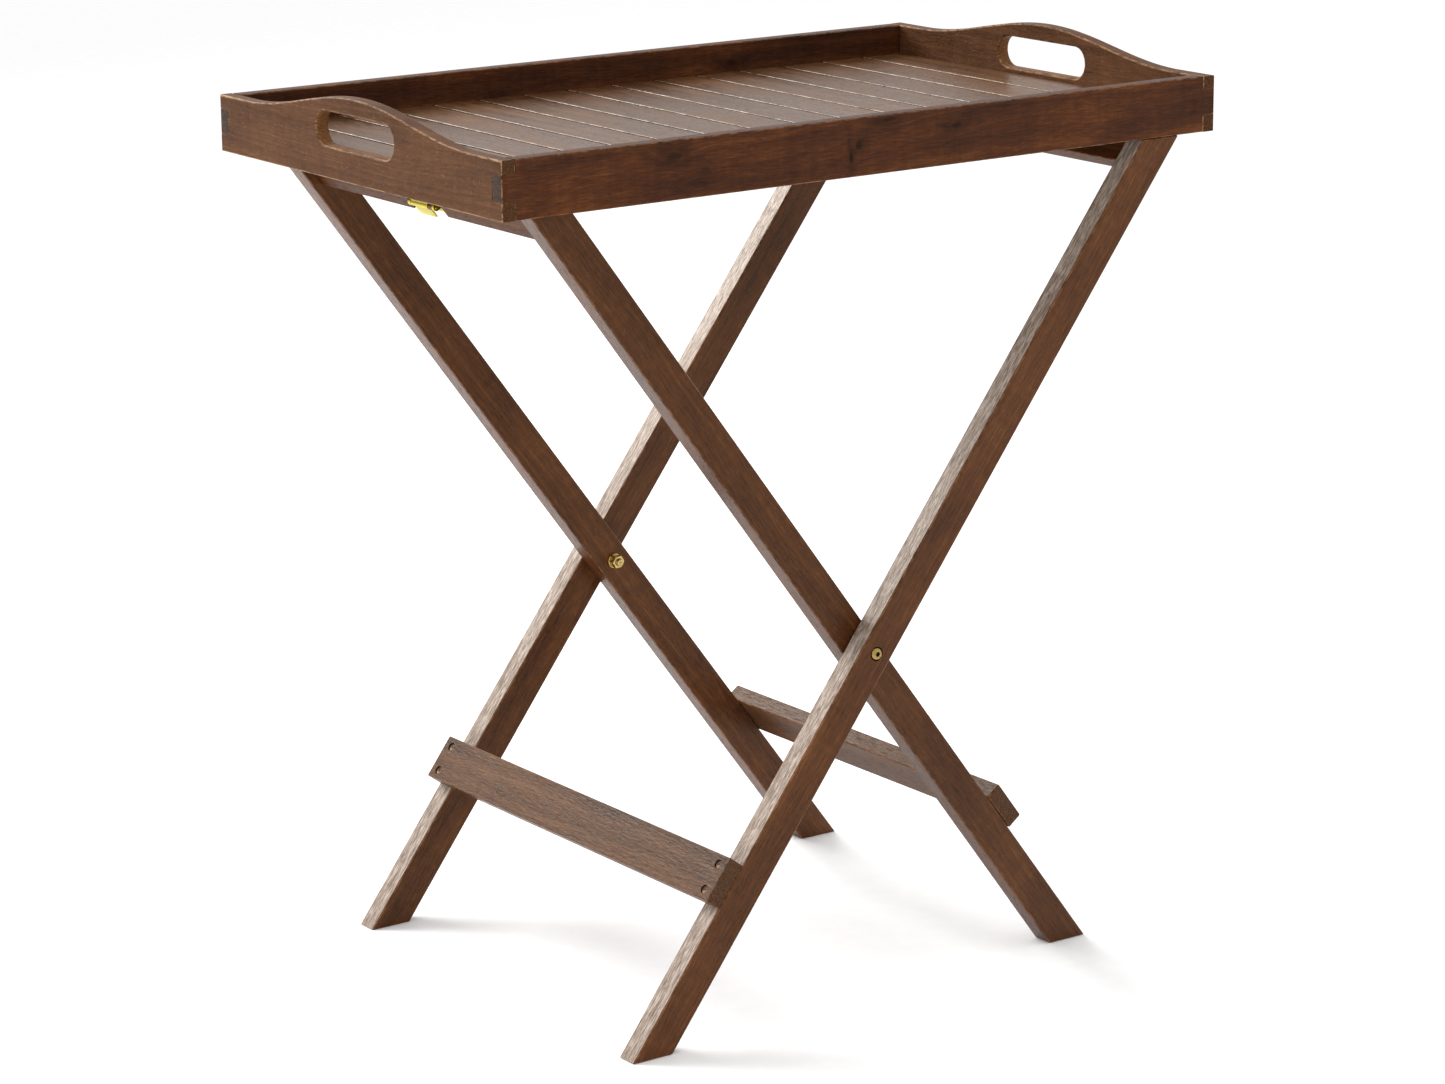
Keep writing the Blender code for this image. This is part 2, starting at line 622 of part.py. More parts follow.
base_section = catch_section(base_low, base_low + CATCH_BASE_HEIGHT, notch_floor + CLEAR, base_face)
catch_base = across("catch_base", base_section, base_front, base_rear, PARTS, BRASS)
ear_low = CATCH_PIN_STATION - CATCH_EAR_HALF_WIDTH
ear_high = CATCH_PIN_STATION + CATCH_EAR_HALF_WIDTH
ear_section = catch_section(ear_low, ear_high, base_face - CLEAR, lever_skin + CATCH_EAR_PROUD)
ear_rear_high = base_rear - CATCH_EAR_INSET
ear_front_low = base_front + CATCH_EAR_INSET
ear_front_high = ear_front_low + CATCH_EAR_THICKNESS
join(catch_base, across("catch_ear_rear", ear_section, lever_rear + CATCH_EAR_INSET, ear_rear_high, CUTTERS))
join(catch_base, across("catch_ear_front", ear_section, ear_front_low, ear_front_high, CUTTERS))
cut(catch_base, across("catch_pin_bore", pin_circle(CATCH_PIN_RADIUS + CLEAR), base_front - PAST,
                       base_rear + PAST, CUTTERS))
catch_pin = across("catch_pin", pin_circle(CATCH_PIN_RADIUS), base_front, base_rear, PARTS, BRASS)

lever_hub = axis_empty("catch_axis", (pin_x, 0.0, pin_z))
nose_low = keeper_top + CATCH_NOSE_LIFT
nose_high = nose_low + CATCH_SHEET
nose_tip = -KEEPER_EDGE - CATCH_NOSE_BITE
tab_low = UPPER_RAIL_BOTTOM - CATCH_TAB
lever_section = [along(-1, tab_low, lever_skin),
                 along(-1, station_at(-1, nose_low, lever_skin), lever_skin),
                 (nose_tip, nose_low), (nose_tip, nose_high),
                 along(-1, station_at(-1, nose_high, lever_back), lever_back),
                 along(-1, tab_low, lever_back)]
lever_centre = Vector((pin_x, CATCH_LEVER_Y, pin_z))
lever = plate("catch_lever", [[(x - pin_x, z - pin_z) for x, z in lever_section]], CATCH_LEVER_WIDTH,
              lever_centre, FACING_FRONT, BRASS)
join(lever, plate("catch_barrel", [circle(CATCH_BARREL_RADIUS, SMALL_SIDES)], CATCH_LEVER_WIDTH,
                  lever_centre, FACING_FRONT, target=CUTTERS))
cut(lever, plate("lever_bore", [circle(CATCH_PIN_RADIUS + CLEAR, SMALL_SIDES)], CATCH_LEVER_WIDTH + PAST,
                 lever_centre, FACING_FRONT, target=CUTTERS))

catch_screws = []
catch_screw = countersunk(CATCH_SCREW_HEAD, CATCH_SCREW_SHANK, 0.0, CATCH_SCREW_CONE, CATCH_SCREW_LENGTH,
                          CATCH_SCREW_POINT)
catch_screw_hole = screw_hole(CATCH_SCREW_HEAD, CATCH_SCREW_SHANK, 0.0, CATCH_SCREW_CONE, CATCH_SCREW_LENGTH)
for name, side in (("front", -1), ("rear", 1)):
    x, z = along(-1, UPPER_RAIL_BOTTOM + CATCH_SCREW_HEIGHT, base_face)
    spot = (x, CATCH_SCREW_Y + side * CATCH_SCREW_SPREAD / 2, z)
    turn = (0.0, math.pi + LEG_ANGLE, 0.0)
    cutter = turned("catch_hole_" + name, catch_screw_hole, spot, turn, target=CUTTERS, sides=SMALL_SIDES)
    cut(catch_base, cutter)
    cut(rails["upper", "inner"], cutter)
    catch_screws.append(turned("catch_screw_" + name, catch_screw, spot, turn, BRASS, sides=SMALL_SIDES))

spring_curve = bpy.data.curves.new("catch_spring", "CURVE")
spring_curve.dimensions = "3D"
spring_curve.bevel_depth = SPRING_WIRE
spring_curve.bevel_resolution = 1
spring_curve.use_fill_caps = True
spring_start = lever_front - SPRING_END_GAP
spring_end = ear_front_high + SPRING_END_GAP
coil_radius = CATCH_PIN_RADIUS + 2 * CLEAR + SPRING_WIRE
coil = spring_curve.splines.new("POLY")
coil.points.add(SPRING_TURNS * SPRING_STEPS)
for index, point in enumerate(coil.points):
    turn = 2 * math.pi * index / SPRING_STEPS
    y = spring_start + (spring_end - spring_start) * index / (SPRING_TURNS * SPRING_STEPS)
    point.co = (pin_x + coil_radius * math.cos(turn), y, pin_z + coil_radius * math.sin(turn), 1.0)
catch_spring = place(bpy.data.objects.new("catch_spring", spring_curve), "catch_spring", SCREW_STEEL, PARTS)

# ---------------------------------------------------------------- what moves with what
inner_axis = axis_empty("inner_frame_axis", (0.0, 0.0, PIVOT_HEIGHT))
inner_pieces = [legs["inner", "front"], legs["inner", "back"]]
inner_pieces += [rails["upper", "inner"], rails["lower", "inner"]]
inner_pieces += screws["inner"] + [catch_base, catch_pin, catch_spring] + catch_screws
hang_on(inner_axis, inner_pieces + [lever_hub])
bpy.context.view_layer.update()
hang_on(lever_hub, [lever])
hang_on(tray, tray_pieces)
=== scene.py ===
"""Looks for the folding tray table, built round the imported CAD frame, in metres."""

import math

import bmesh
import bpy
from mathutils import Matrix, Vector


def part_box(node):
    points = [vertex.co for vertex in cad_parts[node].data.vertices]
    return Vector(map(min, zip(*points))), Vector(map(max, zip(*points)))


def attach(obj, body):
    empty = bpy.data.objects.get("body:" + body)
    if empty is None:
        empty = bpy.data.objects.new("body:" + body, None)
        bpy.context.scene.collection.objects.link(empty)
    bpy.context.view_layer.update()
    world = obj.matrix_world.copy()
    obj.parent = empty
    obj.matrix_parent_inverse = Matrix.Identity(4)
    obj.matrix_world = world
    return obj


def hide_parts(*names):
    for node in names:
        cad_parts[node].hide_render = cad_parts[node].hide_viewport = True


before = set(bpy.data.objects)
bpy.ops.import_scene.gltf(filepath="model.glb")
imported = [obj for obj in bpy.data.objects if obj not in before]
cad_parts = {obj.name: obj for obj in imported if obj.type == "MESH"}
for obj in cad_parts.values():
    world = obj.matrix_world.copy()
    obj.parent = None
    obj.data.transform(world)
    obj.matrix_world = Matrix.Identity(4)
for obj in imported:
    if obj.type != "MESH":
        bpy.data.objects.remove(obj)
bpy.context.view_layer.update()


# ---------------------------------------------------------------- long boards
# The tray's front and back boards: solid acacia, stained dark brown and rubbed to a satin finish.
# Each end is sawn to one middle finger, glued between the two fingers of an end board.
JOINT_GAP = 0.0003         # the dark line left where two pieces meet
FINGER_TOP = 0.0108        # the end board's upper finger, from the rim's top
FINGER_BOTTOM = 0.0142     # and its lower one, from the rim's bottom
END_BOARD = 0.012
WIDEST_ARRIS = 0.0030
SAWN_CORNER = math.radians(28)
ROUNDED = 1                # slot numbers of the faces that rounding and cutting leave
HOLLOW = 2


def slab(loops, low, high):
    """A closed solid: an outline in X and Y, with its holes, from one height in Z to another."""
    shape = bmesh.new()
    edges = []
    for loop in loops:
        corners = [shape.verts.new((u, v, low)) for u, v in loop]
        edges += [shape.edges.new((corners[i - 1], corners[i])) for i in range(len(corners))]
    if len(loops) == 1:
        shape.faces.new(corners)
    else:
        bmesh.ops.triangle_fill(shape, use_beauty=True, edges=edges, normal=(0, 0, 1))
    grown = bmesh.ops.extrude_face_region(shape, geom=shape.faces[:])
    top = [part for part in grown["geom"] if isinstance(part, bmesh.types.BMVert)]
    bmesh.ops.translate(shape, vec=(0, 0, high - low), verts=top)
    bmesh.ops.recalc_face_normals(shape, faces=shape.faces)
    mesh = bpy.data.meshes.new("slab")
    shape.to_mesh(mesh)
    shape.free()
    return mesh


def worked(guide):
    """A guide's mesh with its modifiers carried out."""
    bpy.context.view_layer.update()
    return bpy.data.meshes.new_from_object(guide.evaluated_get(bpy.context.evaluated_depsgraph_get()))


def joined_or_cut(mesh, tools, operation):
    """Glue other solids to a solid, or cut them out of it."""
    stand_ins = [bpy.data.objects.new("guide", part) for part in [mesh] + list(tools)]
    for thing in stand_ins:
        bpy.context.scene.collection.objects.link(thing)
    for tool in stand_ins[1:]:
        step = stand_ins[0].modifiers.new("Work", "BOOLEAN")
        step.operation = operation
        step.solver = "EXACT"
        step.object = tool
    made = worked(stand_ins[0])
    for thing in stand_ins:
        bpy.data.objects.remove(thing, do_unlink=True)
    return made


def mark_faces(mesh, number):
    """Give every face of a solid one slot number, which cutting and rounding carry along."""
    mesh.materials.clear()
    for slot in range(HOLLOW + 1):
        mesh.materials.append(None)
    for face in mesh.polygons:
        face.material_index = number


def eased(mesh, arris, holes=(), extras=(), segments=2, handled=lambda spot: 1.0):
    """Cut a solid's holes, round every sharp edge by its own arris, and mark the rounded edges for wear (on the slats,
    a painted highlight) and the cut faces for painted shade.
    """
    if extras:
        mesh = joined_or_cut(mesh, extras, "UNION")
    mark_faces(mesh, 0)
    if holes:
        for hole in holes:
            mark_faces(hole, HOLLOW)
        mesh = joined_or_cut(mesh, holes, "DIFFERENCE")
    shape = bmesh.new()
    shape.from_mesh(mesh)
    bmesh.ops.remove_doubles(shape, verts=shape.verts, dist=0.000002)
    bmesh.ops.dissolve_limit(shape, angle_limit=0.002, verts=shape.verts, edges=shape.edges)
    weight = shape.edges.layers.float.new("bevel_weight_edge")
    for edge in shape.edges:
        if edge.is_manifold and edge.calc_face_angle() > SAWN_CORNER:
            middle = (edge.verts[0].co + edge.verts[1].co) / 2
            edge[weight] = arris(middle) / WIDEST_ARRIS
    shape.to_mesh(mesh)
    shape.free()
    mesh.shade_smooth()
    guide = bpy.data.objects.new("guide", mesh)
    bpy.context.scene.collection.objects.link(guide)
    rounding = guide.modifiers.new("Arris", "BEVEL")
    rounding.width = WIDEST_ARRIS
    rounding.segments = segments
    rounding.limit_method = "WEIGHT"
    rounding.material = ROUNDED
    rounding.use_clamp_overlap = True
    guide.modifiers.new("Flats", "WEIGHTED_NORMAL").weight = 100
    made = worked(guide)
    bpy.data.objects.remove(guide, do_unlink=True)
    rub_and_glint = [handled(point.co) for point in made.vertices]
    # Faces left by the cutters are marked for painted shade in holes and recesses.
    hollow_shade = [0.0] * len(made.polygons)
    for face in made.polygons:
        if face.material_index != ROUNDED:
            for corner in face.vertices:
                rub_and_glint[corner] = 0.0
        if face.material_index == HOLLOW:
            hollow_shade[face.index] = 1.0
        face.material_index = 0
    made.attributes.new("hollow_shade", "FLOAT", "FACE").data.foreach_set("value", hollow_shade)
    made.attributes.new("rub_and_glint", "FLOAT", "POINT").data.foreach_set("value", rub_and_glint)
    return made


def fitted(name, mesh, place, material, body, slot, *nodes):
    """Put a finished piece in its place on its body, standing for its CAD nodes."""
    if "grain" not in mesh.attributes:
        wear_glint_and_shade_marks(mesh)
    mesh.materials.clear()
    mesh.materials.append(material)
    mesh.transform(place)
    thing = bpy.data.objects.new(name, mesh)
    bpy.context.scene.collection.objects.link(thing)
    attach(thing, body)
    if nodes:
        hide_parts(*nodes)
    return thing


def wooden(name, mesh, place, material, body, slot, *nodes, board):
    """A piece of wood, its grain along local X. Each board number gives another cut from the log."""
    end_grain = [1.0 if abs(face.normal.x) > 0.8 else 0.0 for face in mesh.polygons]
    mesh.attributes.new("end_grain", "FLOAT", "FACE").data.foreach_set("value", end_grain)
    grain = [part for point in mesh.vertices for part in point.co]
    mesh.attributes.new("grain", "FLOAT_VECTOR", "POINT").data.foreach_set("vector", grain)
    thing = fitted(name, mesh, place, material, body, slot, *nodes)
    thing["board"] = float(board)
    return thing


def axes(origin, x, y, z):
    """A placing matrix from an origin and three directions."""
    place = Matrix.Identity(4)
    for column, direction in enumerate((x, y, z, origin)):
        for row in range(3):
            place[row][column] = direction[row]
    return place


class Recipe:
    """A material's nodes, added one after the other."""

    def __init__(self, name):
        self.material = bpy.data.materials.new(name)
        self.material.use_nodes = True
        self.tree = self.material.node_tree
        self.shader = self.tree.nodes["Principled BSDF"]

    def add(self, kind, inputs=None, **settings):
        made = self.tree.nodes.new("ShaderNode" + kind)
        for setting, value in settings.items():
            setattr(made, setting, value)
        for socket, value in (inputs or {}).items():
            if isinstance(value, bpy.types.NodeSocket):
                self.tree.links.new(value, made.inputs[socket])
            else:
                made.inputs[socket].default_value = value
        return made

    def sum(self, operation, a, b=0.0, c=0.0, clamp=False):
        made = self.add("Math", {0: a, 1: b, 2: c}, operation=operation, use_clamp=clamp)
        return made.outputs[0]

    def vector(self, operation, a, b=(0, 0, 0), c=(0, 0, 0)):
        made = self.add("VectorMath", {0: a, 1: b, 2: c}, operation=operation)
        return made.outputs["Value" if operation == "LENGTH" else "Vector"]

    def noise(self, place, stretch, detail=2.0, roughness=0.55):
        scaled = self.vector("MULTIPLY", place, stretch)
        return self.add("TexNoise", {"Vector": scaled, "Scale": 1.0, "Detail": detail, "Roughness": roughness})

    def step(self, value, low, high, start=0.0, end=1.0):
        made = self.add("MapRange", {0: value, 1: low, 2: high, 3: start, 4: end}, interpolation_type="SMOOTHSTEP")
        return made.outputs[0]

    def tones(self, value, stops):
        made = self.add("ValToRGB", {0: value})
        ramp = made.color_ramp
        while len(ramp.elements) < len(stops):
            ramp.elements.new(0.5)
        for element, (position, colour) in zip(ramp.elements, stops):
            element.position = position
            element.color = (*colour, 1.0)
        return made.outputs["Color"]

    def mix(self, factor, a, b, how="MIX"):
        made = self.add("Mix", {0: factor}, data_type="RGBA", blend_type=how)
        for socket, value in ((6, a), (7, b)):
            if isinstance(value, bpy.types.NodeSocket):
                self.tree.links.new(value, made.inputs[socket])
            else:
                made.inputs[socket].default_value = (*value, 1.0)
        return made.outputs[2]

    def mark(self, name, kind="GEOMETRY", part="Fac"):
        return self.add("Attribute", attribute_name=name, attribute_type=kind).outputs[part]

    def wire(self, socket, value):
        self.tree.links.new(value, self.shader.inputs[socket])

    def constant(self, values):
        for socket, value in values.items():
            self.shader.inputs[socket].default_value = value


def stained_wood(name, tones, wear_and_glint, end_tones, gloss=0.40, shine=0.12, ripple=0.0, ring_size=150.0, speckle=0.0, knots=(),
                 sheen=(1.0, 0.84, 0.68), bare_or_sheen_tones=None):
    """Stained acacia: growth rings, fibres, open pores, patchy stain, edge wear and darker end grain; cut faces get
    painted shade, the slats' edges a painted highlight over the wear, and the outer legs' narrow faces a painted
    sheen.
    """
    wood = Recipe(name)
    here = wood.mark("grain", part="Vector")
    chance = wood.add("TexWhiteNoise", {"W": wood.mark("board", "OBJECT")}, noise_dimensions="1D")
    log = wood.vector("ADD", here, wood.vector("MULTIPLY_ADD", chance.outputs["Color"], (3.0, 0.12, 0.12),
                                               (0.0, 0.03, 0.03)))
    waver = wood.noise(log, (4.0, 20.0, 20.0)).outputs["Color"]
    bent = wood.vector("MULTIPLY_ADD", waver, (0.0, 0.016, 0.016), log)
    from_pith = wood.vector("LENGTH", wood.vector("MULTIPLY", bent, (0.0, 1.0, 1.0)))
    knot_shade = None
    for x, y, long, tall, depth in knots:
        offset = wood.vector("SUBTRACT", here, (x, y, 0.0))
        wobble = wood.noise(here, (90.0, 90.0, 90.0)).outputs["Color"]
        around = wood.vector("MULTIPLY_ADD", wobble, (0.5 * long, 0.5 * tall, 0.0), offset)
        around = wood.vector("SUBTRACT", around, (0.25 * long, 0.25 * tall, 0.0))
        reach = wood.vector("LENGTH", wood.vector("MULTIPLY", around, (1.0 / long, 1.0 / tall, 0.0)))
        from_pith = wood.sum("MULTIPLY_ADD", wood.step(reach, 3.2, 0.2), 0.006, from_pith)
        core = wood.step(reach, 1.0, 0.25, 0.0, depth)
        halo = wood.step(reach, 2.6, 0.6, 0.0, 0.4 * depth)
        shade = wood.sum("MAXIMUM", core, halo)
        knot_shade = shade if knot_shade is None else wood.sum("MAXIMUM", knot_shade, shade)
    rings = wood.add("TexNoise", {"W": wood.sum("MULTIPLY", from_pith, ring_size), "Scale": 1.0,
                                  "Detail": 4.0, "Roughness": 0.62}, noise_dimensions="1D").outputs[0]
    fibres = wood.noise(bent, (75.0, 850.0, 850.0), 3.0, 0.65).outputs[0]
    pores = wood.step(wood.noise(bent, (110.0, 1500.0, 1500.0), 1.0).outputs[0], 0.58, 0.72)
    stain = wood.noise(log, (9.0, 26.0, 26.0), 3.0).outputs[0]
    figure = wood.noise(log, (150.0, 30.0, 30.0), 2.0).outputs[0]
    shade = wood.sum("MULTIPLY_ADD", rings, 0.25, wood.sum("MULTIPLY", fibres, 0.33))
    shade = wood.sum("MULTIPLY_ADD", stain, 0.32, shade)
    shade = wood.sum("MULTIPLY_ADD", figure, 0.10, shade)
    colour = wood.tones(shade, tones)
    tint = wood.add("HueSaturation", {"Hue": 0.5, "Saturation": 1.0, "Fac": 1.0,
                                      "Value": wood.step(chance.outputs["Value"], 0.0, 1.0, 0.88, 1.12),
                                      "Color": colour}).outputs[0]
    colour = wood.mix(wood.sum("MULTIPLY", pores, 0.45), tint, tones[0][1])
    if speckle:
        specks = wood.step(wood.noise(log, (260.0, 420.0, 420.0), 2.0).outputs[0], 0.60, 0.74)
        colour = wood.mix(wood.sum("MULTIPLY", specks, speckle), colour, wear_and_glint)
    if knot_shade is not None:
        colour = wood.mix(knot_shade, colour, [channel * 0.28 for channel in tones[0][1]])
    ends = wood.tones(wood.noise(log, (40.0, 900.0, 900.0), 2.0, 0.7).outputs[0], end_tones)
    end_grain = wood.mark("end_grain")
    colour = wood.mix(end_grain, colour, ends)
    # Cut faces and the slats' long sides are painted darker: painted shade in holes, recesses and the gaps between
    # slats.
    colour = wood.mix(wood.sum("MULTIPLY", wood.mark("hollow_shade"), 0.8), colour, [0.4 * part for part in tones[0][1]])
    # Rounded edges take the edge colour: wear on most pieces, also a painted highlight on the slats.
    wear = wood.step(wood.noise(log, (120.0, 400.0, 400.0), 3.0, 0.7).outputs[0], 0.38, 0.66)
    rubbed_and_glint = wood.sum("MULTIPLY", wood.mark("rub_and_glint"), wear, clamp=True)
    colour = wood.mix(wood.sum("MULTIPLY", rubbed_and_glint, 0.75), colour, wear_and_glint)
    # These tones are raw wood on the hand slot's wall, and a painted sheen on the outer legs' narrow faces.
    if bare_or_sheen_tones:
        bare_or_sheen = wood.tones(wood.noise(here, (110.0, 900.0, 900.0), 4.0, 0.7).outputs[0], bare_or_sheen_tones)
        colour = wood.mix(wood.mark("bare_or_sheen"), colour, bare_or_sheen)
    wood.wire("Base Color", colour)
    rough = wood.step(fibres, 0.25, 0.75, gloss - 0.07, gloss + 0.09)
    rough = wood.sum("MULTIPLY_ADD", pores, 0.18, rough)
    rough = wood.sum("MULTIPLY_ADD", wood.sum("SUBTRACT", stain, 0.5), 0.25, rough)
    rough = wood.sum("MULTIPLY_ADD", end_grain, 0.16, rough, clamp=True)
    wood.wire("Roughness", rough)
    height = wood.sum("MULTIPLY_ADD", pores, -0.75, wood.sum("MULTIPLY", fibres, 0.55))
    height = wood.sum("MULTIPLY_ADD", rings, 0.35, height)
    if ripple:
        waves = wood.noise(bent, (110.0, 520.0, 520.0), 2.0, 0.5).outputs[0]
        height = wood.sum("MULTIPLY_ADD", waves, ripple, height)
    bump = wood.add("Bump", {"Strength": 0.45, "Distance": 0.0004, "Height": height})
    wood.wire("Normal", bump.outputs[0])
    wood.constant({"Specular IOR Level": shine, "Specular Tint": (*sheen, 1.0)})
    return wood.material


RIM_TONES = ((0.38, (0.021, 0.0066, 0.0034)), (0.47, (0.046, 0.0140, 0.0056)), (0.54, (0.070, 0.0208, 0.0068)),
             (0.64, (0.125, 0.0400, 0.0110)))
RUBBED = (0.36, 0.170, 0.070)
RIM_END_TONES = ((0.35, (0.020, 0.0120, 0.0090)), (0.5, (0.042, 0.0260, 0.0190)), (0.68, (0.090, 0.058, 0.042)))
SHORT_END_TONES = ((0.35, (0.038, 0.0150, 0.0065)), (0.5, (0.068, 0.0290, 0.0125)), (0.68, (0.120, 0.056, 0.0240)))
front_knots = ((-0.0262, -0.0075, 0.0032, 0.0080, 0.95), (-0.0190, 0.0015, 0.0050, 0.0060, 0.80),
               (0.0769, 0.0079, 0.0085, 0.0040, 0.80), (-0.1917, 0.0100, 0.0130, 0.0060, 0.70),
               (0.0111, 0.0190, 0.0110, 0.0035, 0.75))
back_knots = ((0.1480, 0.0060, 0.0100, 0.0045, 0.80), (-0.0900, -0.0080, 0.0060, 0.0090, 0.85))

for side, name, knots, board in ((-1, "front", front_knots, 3), (1, "back", back_knots, 8)):
    low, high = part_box("long_side_" + name)
    middle = (low + high) / 2
    half, tall, thick = (high - low).x / 2, (high - low).z / 2, (high - low).y / 2
    root = half - END_BOARD - JOINT_GAP
    finger_high = tall - FINGER_TOP - JOINT_GAP / 2
    finger_low = -tall + FINGER_BOTTOM + JOINT_GAP / 2
    right = [(root, -tall), (root, finger_low), (half, finger_low), (half, finger_high), (root, finger_high),
             (root, tall)]
    outline = right + [(-x, z) for x, z in reversed(right)]

    def board_arris(spot):
        """Round along the top and bottom; barely broken where it meets the end boards."""
        if abs(spot.x) > root - 0.0005:
            return 0.0009 if abs(spot.x) > half - 0.0005 and abs(spot.z) > 0.9 * thick else 0.0002
        return 0.0013

    mesh = eased(slab([outline], -thick, thick), board_arris,
                 handled=lambda spot: 2.6 if abs(spot.x) > half - 0.0016 else 0.9)
    place = axes(middle, (1, 0, 0), (0, 0, 1), (0, -1, 0))
    finish = stained_wood("stained_board_" + name, RIM_TONES, RUBBED, RIM_END_TONES, gloss=0.42, knots=knots)
    wooden("long_board_" + name, mesh, place, finish, "tray", "rim_wood", "long_side_" + name, board=board)


# ---------------------------------------------------------------- end boards
# The tray's two ends: the same wood, stained thin so that its flecks show, and painted lighter than the long boards,
# partly for paler stock and partly as painted light from the lamp on the left.
# The top is bandsawn to a low hump with a hand slot under it, whose wall is left bare orange wood.
HUMP_RISE = 0.020
HUMP_HALF_WIDTH = 0.165
HUMP_STEPS = 60
LONG_BOARD = 0.013
SLOT_LENGTH = 0.113
SLOT_HEIGHT = 0.0264
SLOT_DROP = 0.0071
SLOT_STEPS = 16

# Lighter than the long boards' tones: partly a paler stock, partly painted light for the light from the left.
END_TONES = ((0.34, (0.043, 0.0163, 0.0068)), (0.46, (0.084, 0.0344, 0.0148)), (0.56, (0.119, 0.0516, 0.0232)),
             (0.68, (0.185, 0.0860, 0.0408)))
PALE_FLECK = (0.40, 0.230, 0.110)
BARE_TONES = ((0.34, (0.100, 0.0380, 0.0130)), (0.5, (0.170, 0.0720, 0.0270)), (0.66, (0.260, 0.1250, 0.0520)))


def rim_outline(tall, end):
    """Straight at the corners, a rounded hump between, and a gap for each long board's finger."""
    base = tall - HUMP_RISE
    root = end - LONG_BOARD - JOINT_GAP
    finger_high = base / 2 + (base / 2 - FINGER_TOP) + JOINT_GAP / 2
    finger_low = FINGER_BOTTOM - JOINT_GAP / 2
    front = [(-end, base), (-end, finger_high), (-root, finger_high), (-root, finger_low), (-end, finger_low),
             (-end, 0.0)]
    crest = []
    for step in range(HUMP_STEPS + 1):
        y = HUMP_HALF_WIDTH * (1 - 2 * step / HUMP_STEPS)
        crest.append((y, base + HUMP_RISE * 0.5 * (1 + math.cos(math.pi * y / HUMP_HALF_WIDTH))))
    return front + [(-y, z) for y, z in reversed(front)] + crest


def slot_outline(centre):
    """The hand slot: two straight sides joined by half circles."""
    radius = SLOT_HEIGHT / 2
    reach = SLOT_LENGTH / 2 - radius
    points = []
    for side in (1, -1):
        for step in range(SLOT_STEPS + 1):
            turn = -math.pi / 2 + math.pi * step / SLOT_STEPS
            points.append((side * (reach + radius * math.cos(turn)), centre + side * radius * math.sin(turn)))
    return points


for side, name, board in ((-1, "left", 11), (1, "right", 14)):
    low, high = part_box("end_board_" + name)
    tall, end, thick = (high - low).z, (high - low).y / 2, (high - low).x / 2
    base = tall - HUMP_RISE
    root = end - LONG_BOARD - JOINT_GAP
    slot_middle = base - SLOT_DROP

    def end_arris(spot):
        """A fuller round on the hump and the slot, barely broken at the fingers."""
        if abs(spot.x) > root - 0.0005:
            return 0.0009 if abs(spot.x) > end - 0.0005 and abs(spot.z) > 0.9 * thick else 0.0002
        if abs(spot.x) < SLOT_LENGTH / 2 + 0.001 and abs(spot.y - slot_middle) < SLOT_HEIGHT / 2 + 0.001:
            return 0.0024
        return 0.0018 if spot.y > base - 0.001 else 0.0012

    mesh = eased(slab([rim_outline(tall, end), slot_outline(slot_middle)], -thick, thick), end_arris, segments=3,
                 handled=lambda spot: 2.6 if abs(spot.x) > end - 0.0016 else 0.9)
    bare_or_sheen = []
    for face in mesh.polygons:
        inside = abs(face.center.x) < SLOT_LENGTH / 2 + 0.001
        inside = inside and abs(face.center.y - slot_middle) < SLOT_HEIGHT / 2 + 0.001
        bare_or_sheen.append(1.0 if inside and abs(face.normal.z) < 0.3 else 0.0)
    mesh.attributes.new("bare_or_sheen", "FLOAT", "FACE").data.foreach_set("value", bare_or_sheen)
    place = axes(((low.x + high.x) / 2, 0.0, low.z), (0, 1, 0), (0, 0, 1), (1, 0, 0))
    finish = stained_wood("stained_end_" + name, END_TONES, PALE_FLECK, SHORT_END_TONES, gloss=0.46, shine=0.06,
                          speckle=0.16, ring_size=190.0, bare_or_sheen_tones=BARE_TONES)
    wooden("end_board_shaped_" + name, mesh, place, finish, "tray", "rim_wood",
           "end_board_" + name, board=board)


# ---------------------------------------------------------------- tray floor
# Fifteen thin slats laid side by side across the tray, each with its long edges planed round. They are stained like
# the boards and burnished smooth, so they shine where the light grazes them; their rounded edges carry a pale painted
# highlight over the wear, and their long sides painted shade for the gaps.
SLAT_COUNT = 15
SLAT_GAP = 0.0009
SLAT_TONES = ((0.37, (0.040, 0.0155, 0.0052)), (0.47, (0.084, 0.0345, 0.0120)), (0.55, (0.118, 0.0510, 0.0185)),
              (0.65, (0.185, 0.0860, 0.0350)))
# Pale edge colour for the slats: wear plus a painted highlight along their rounded edges.
SLAT_WEAR_AND_GLINT = (0.62, 0.500, 0.400)
slat_finish = stained_wood("stained_slat", SLAT_TONES, SLAT_WEAR_AND_GLINT, RIM_END_TONES, gloss=0.33, shine=0.34,
                           ring_size=170.0)


def block(size, arris, **work):
    """A planed bar round the origin with the same arris all along."""
    x, y, z = (part / 2 for part in size)
    return eased(slab([[(-x, -y), (x, -y), (x, y), (-x, y)]], -z, z), lambda spot: arris, **work)


for number in range(1, SLAT_COUNT + 1):
    node = "slat_%02d" % number
    low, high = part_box(node)
    size = high - low
    mesh = block((size.y, size.x - SLAT_GAP, size.z), 0.0008)
    # The slats' long sides get painted shade, darkening the gaps between them.
    for face in mesh.polygons:
        if abs(face.normal.y) > 0.95:
            mesh.attributes["hollow_shade"].data[face.index].value = 0.9
    place = axes((low + high) / 2, (0, 1, 0), (-1, 0, 0), (0, 0, 1))
    wooden("floor_" + node, mesh, place, slat_finish, "tray", "slat_wood", node, board=20 + 3 * number)


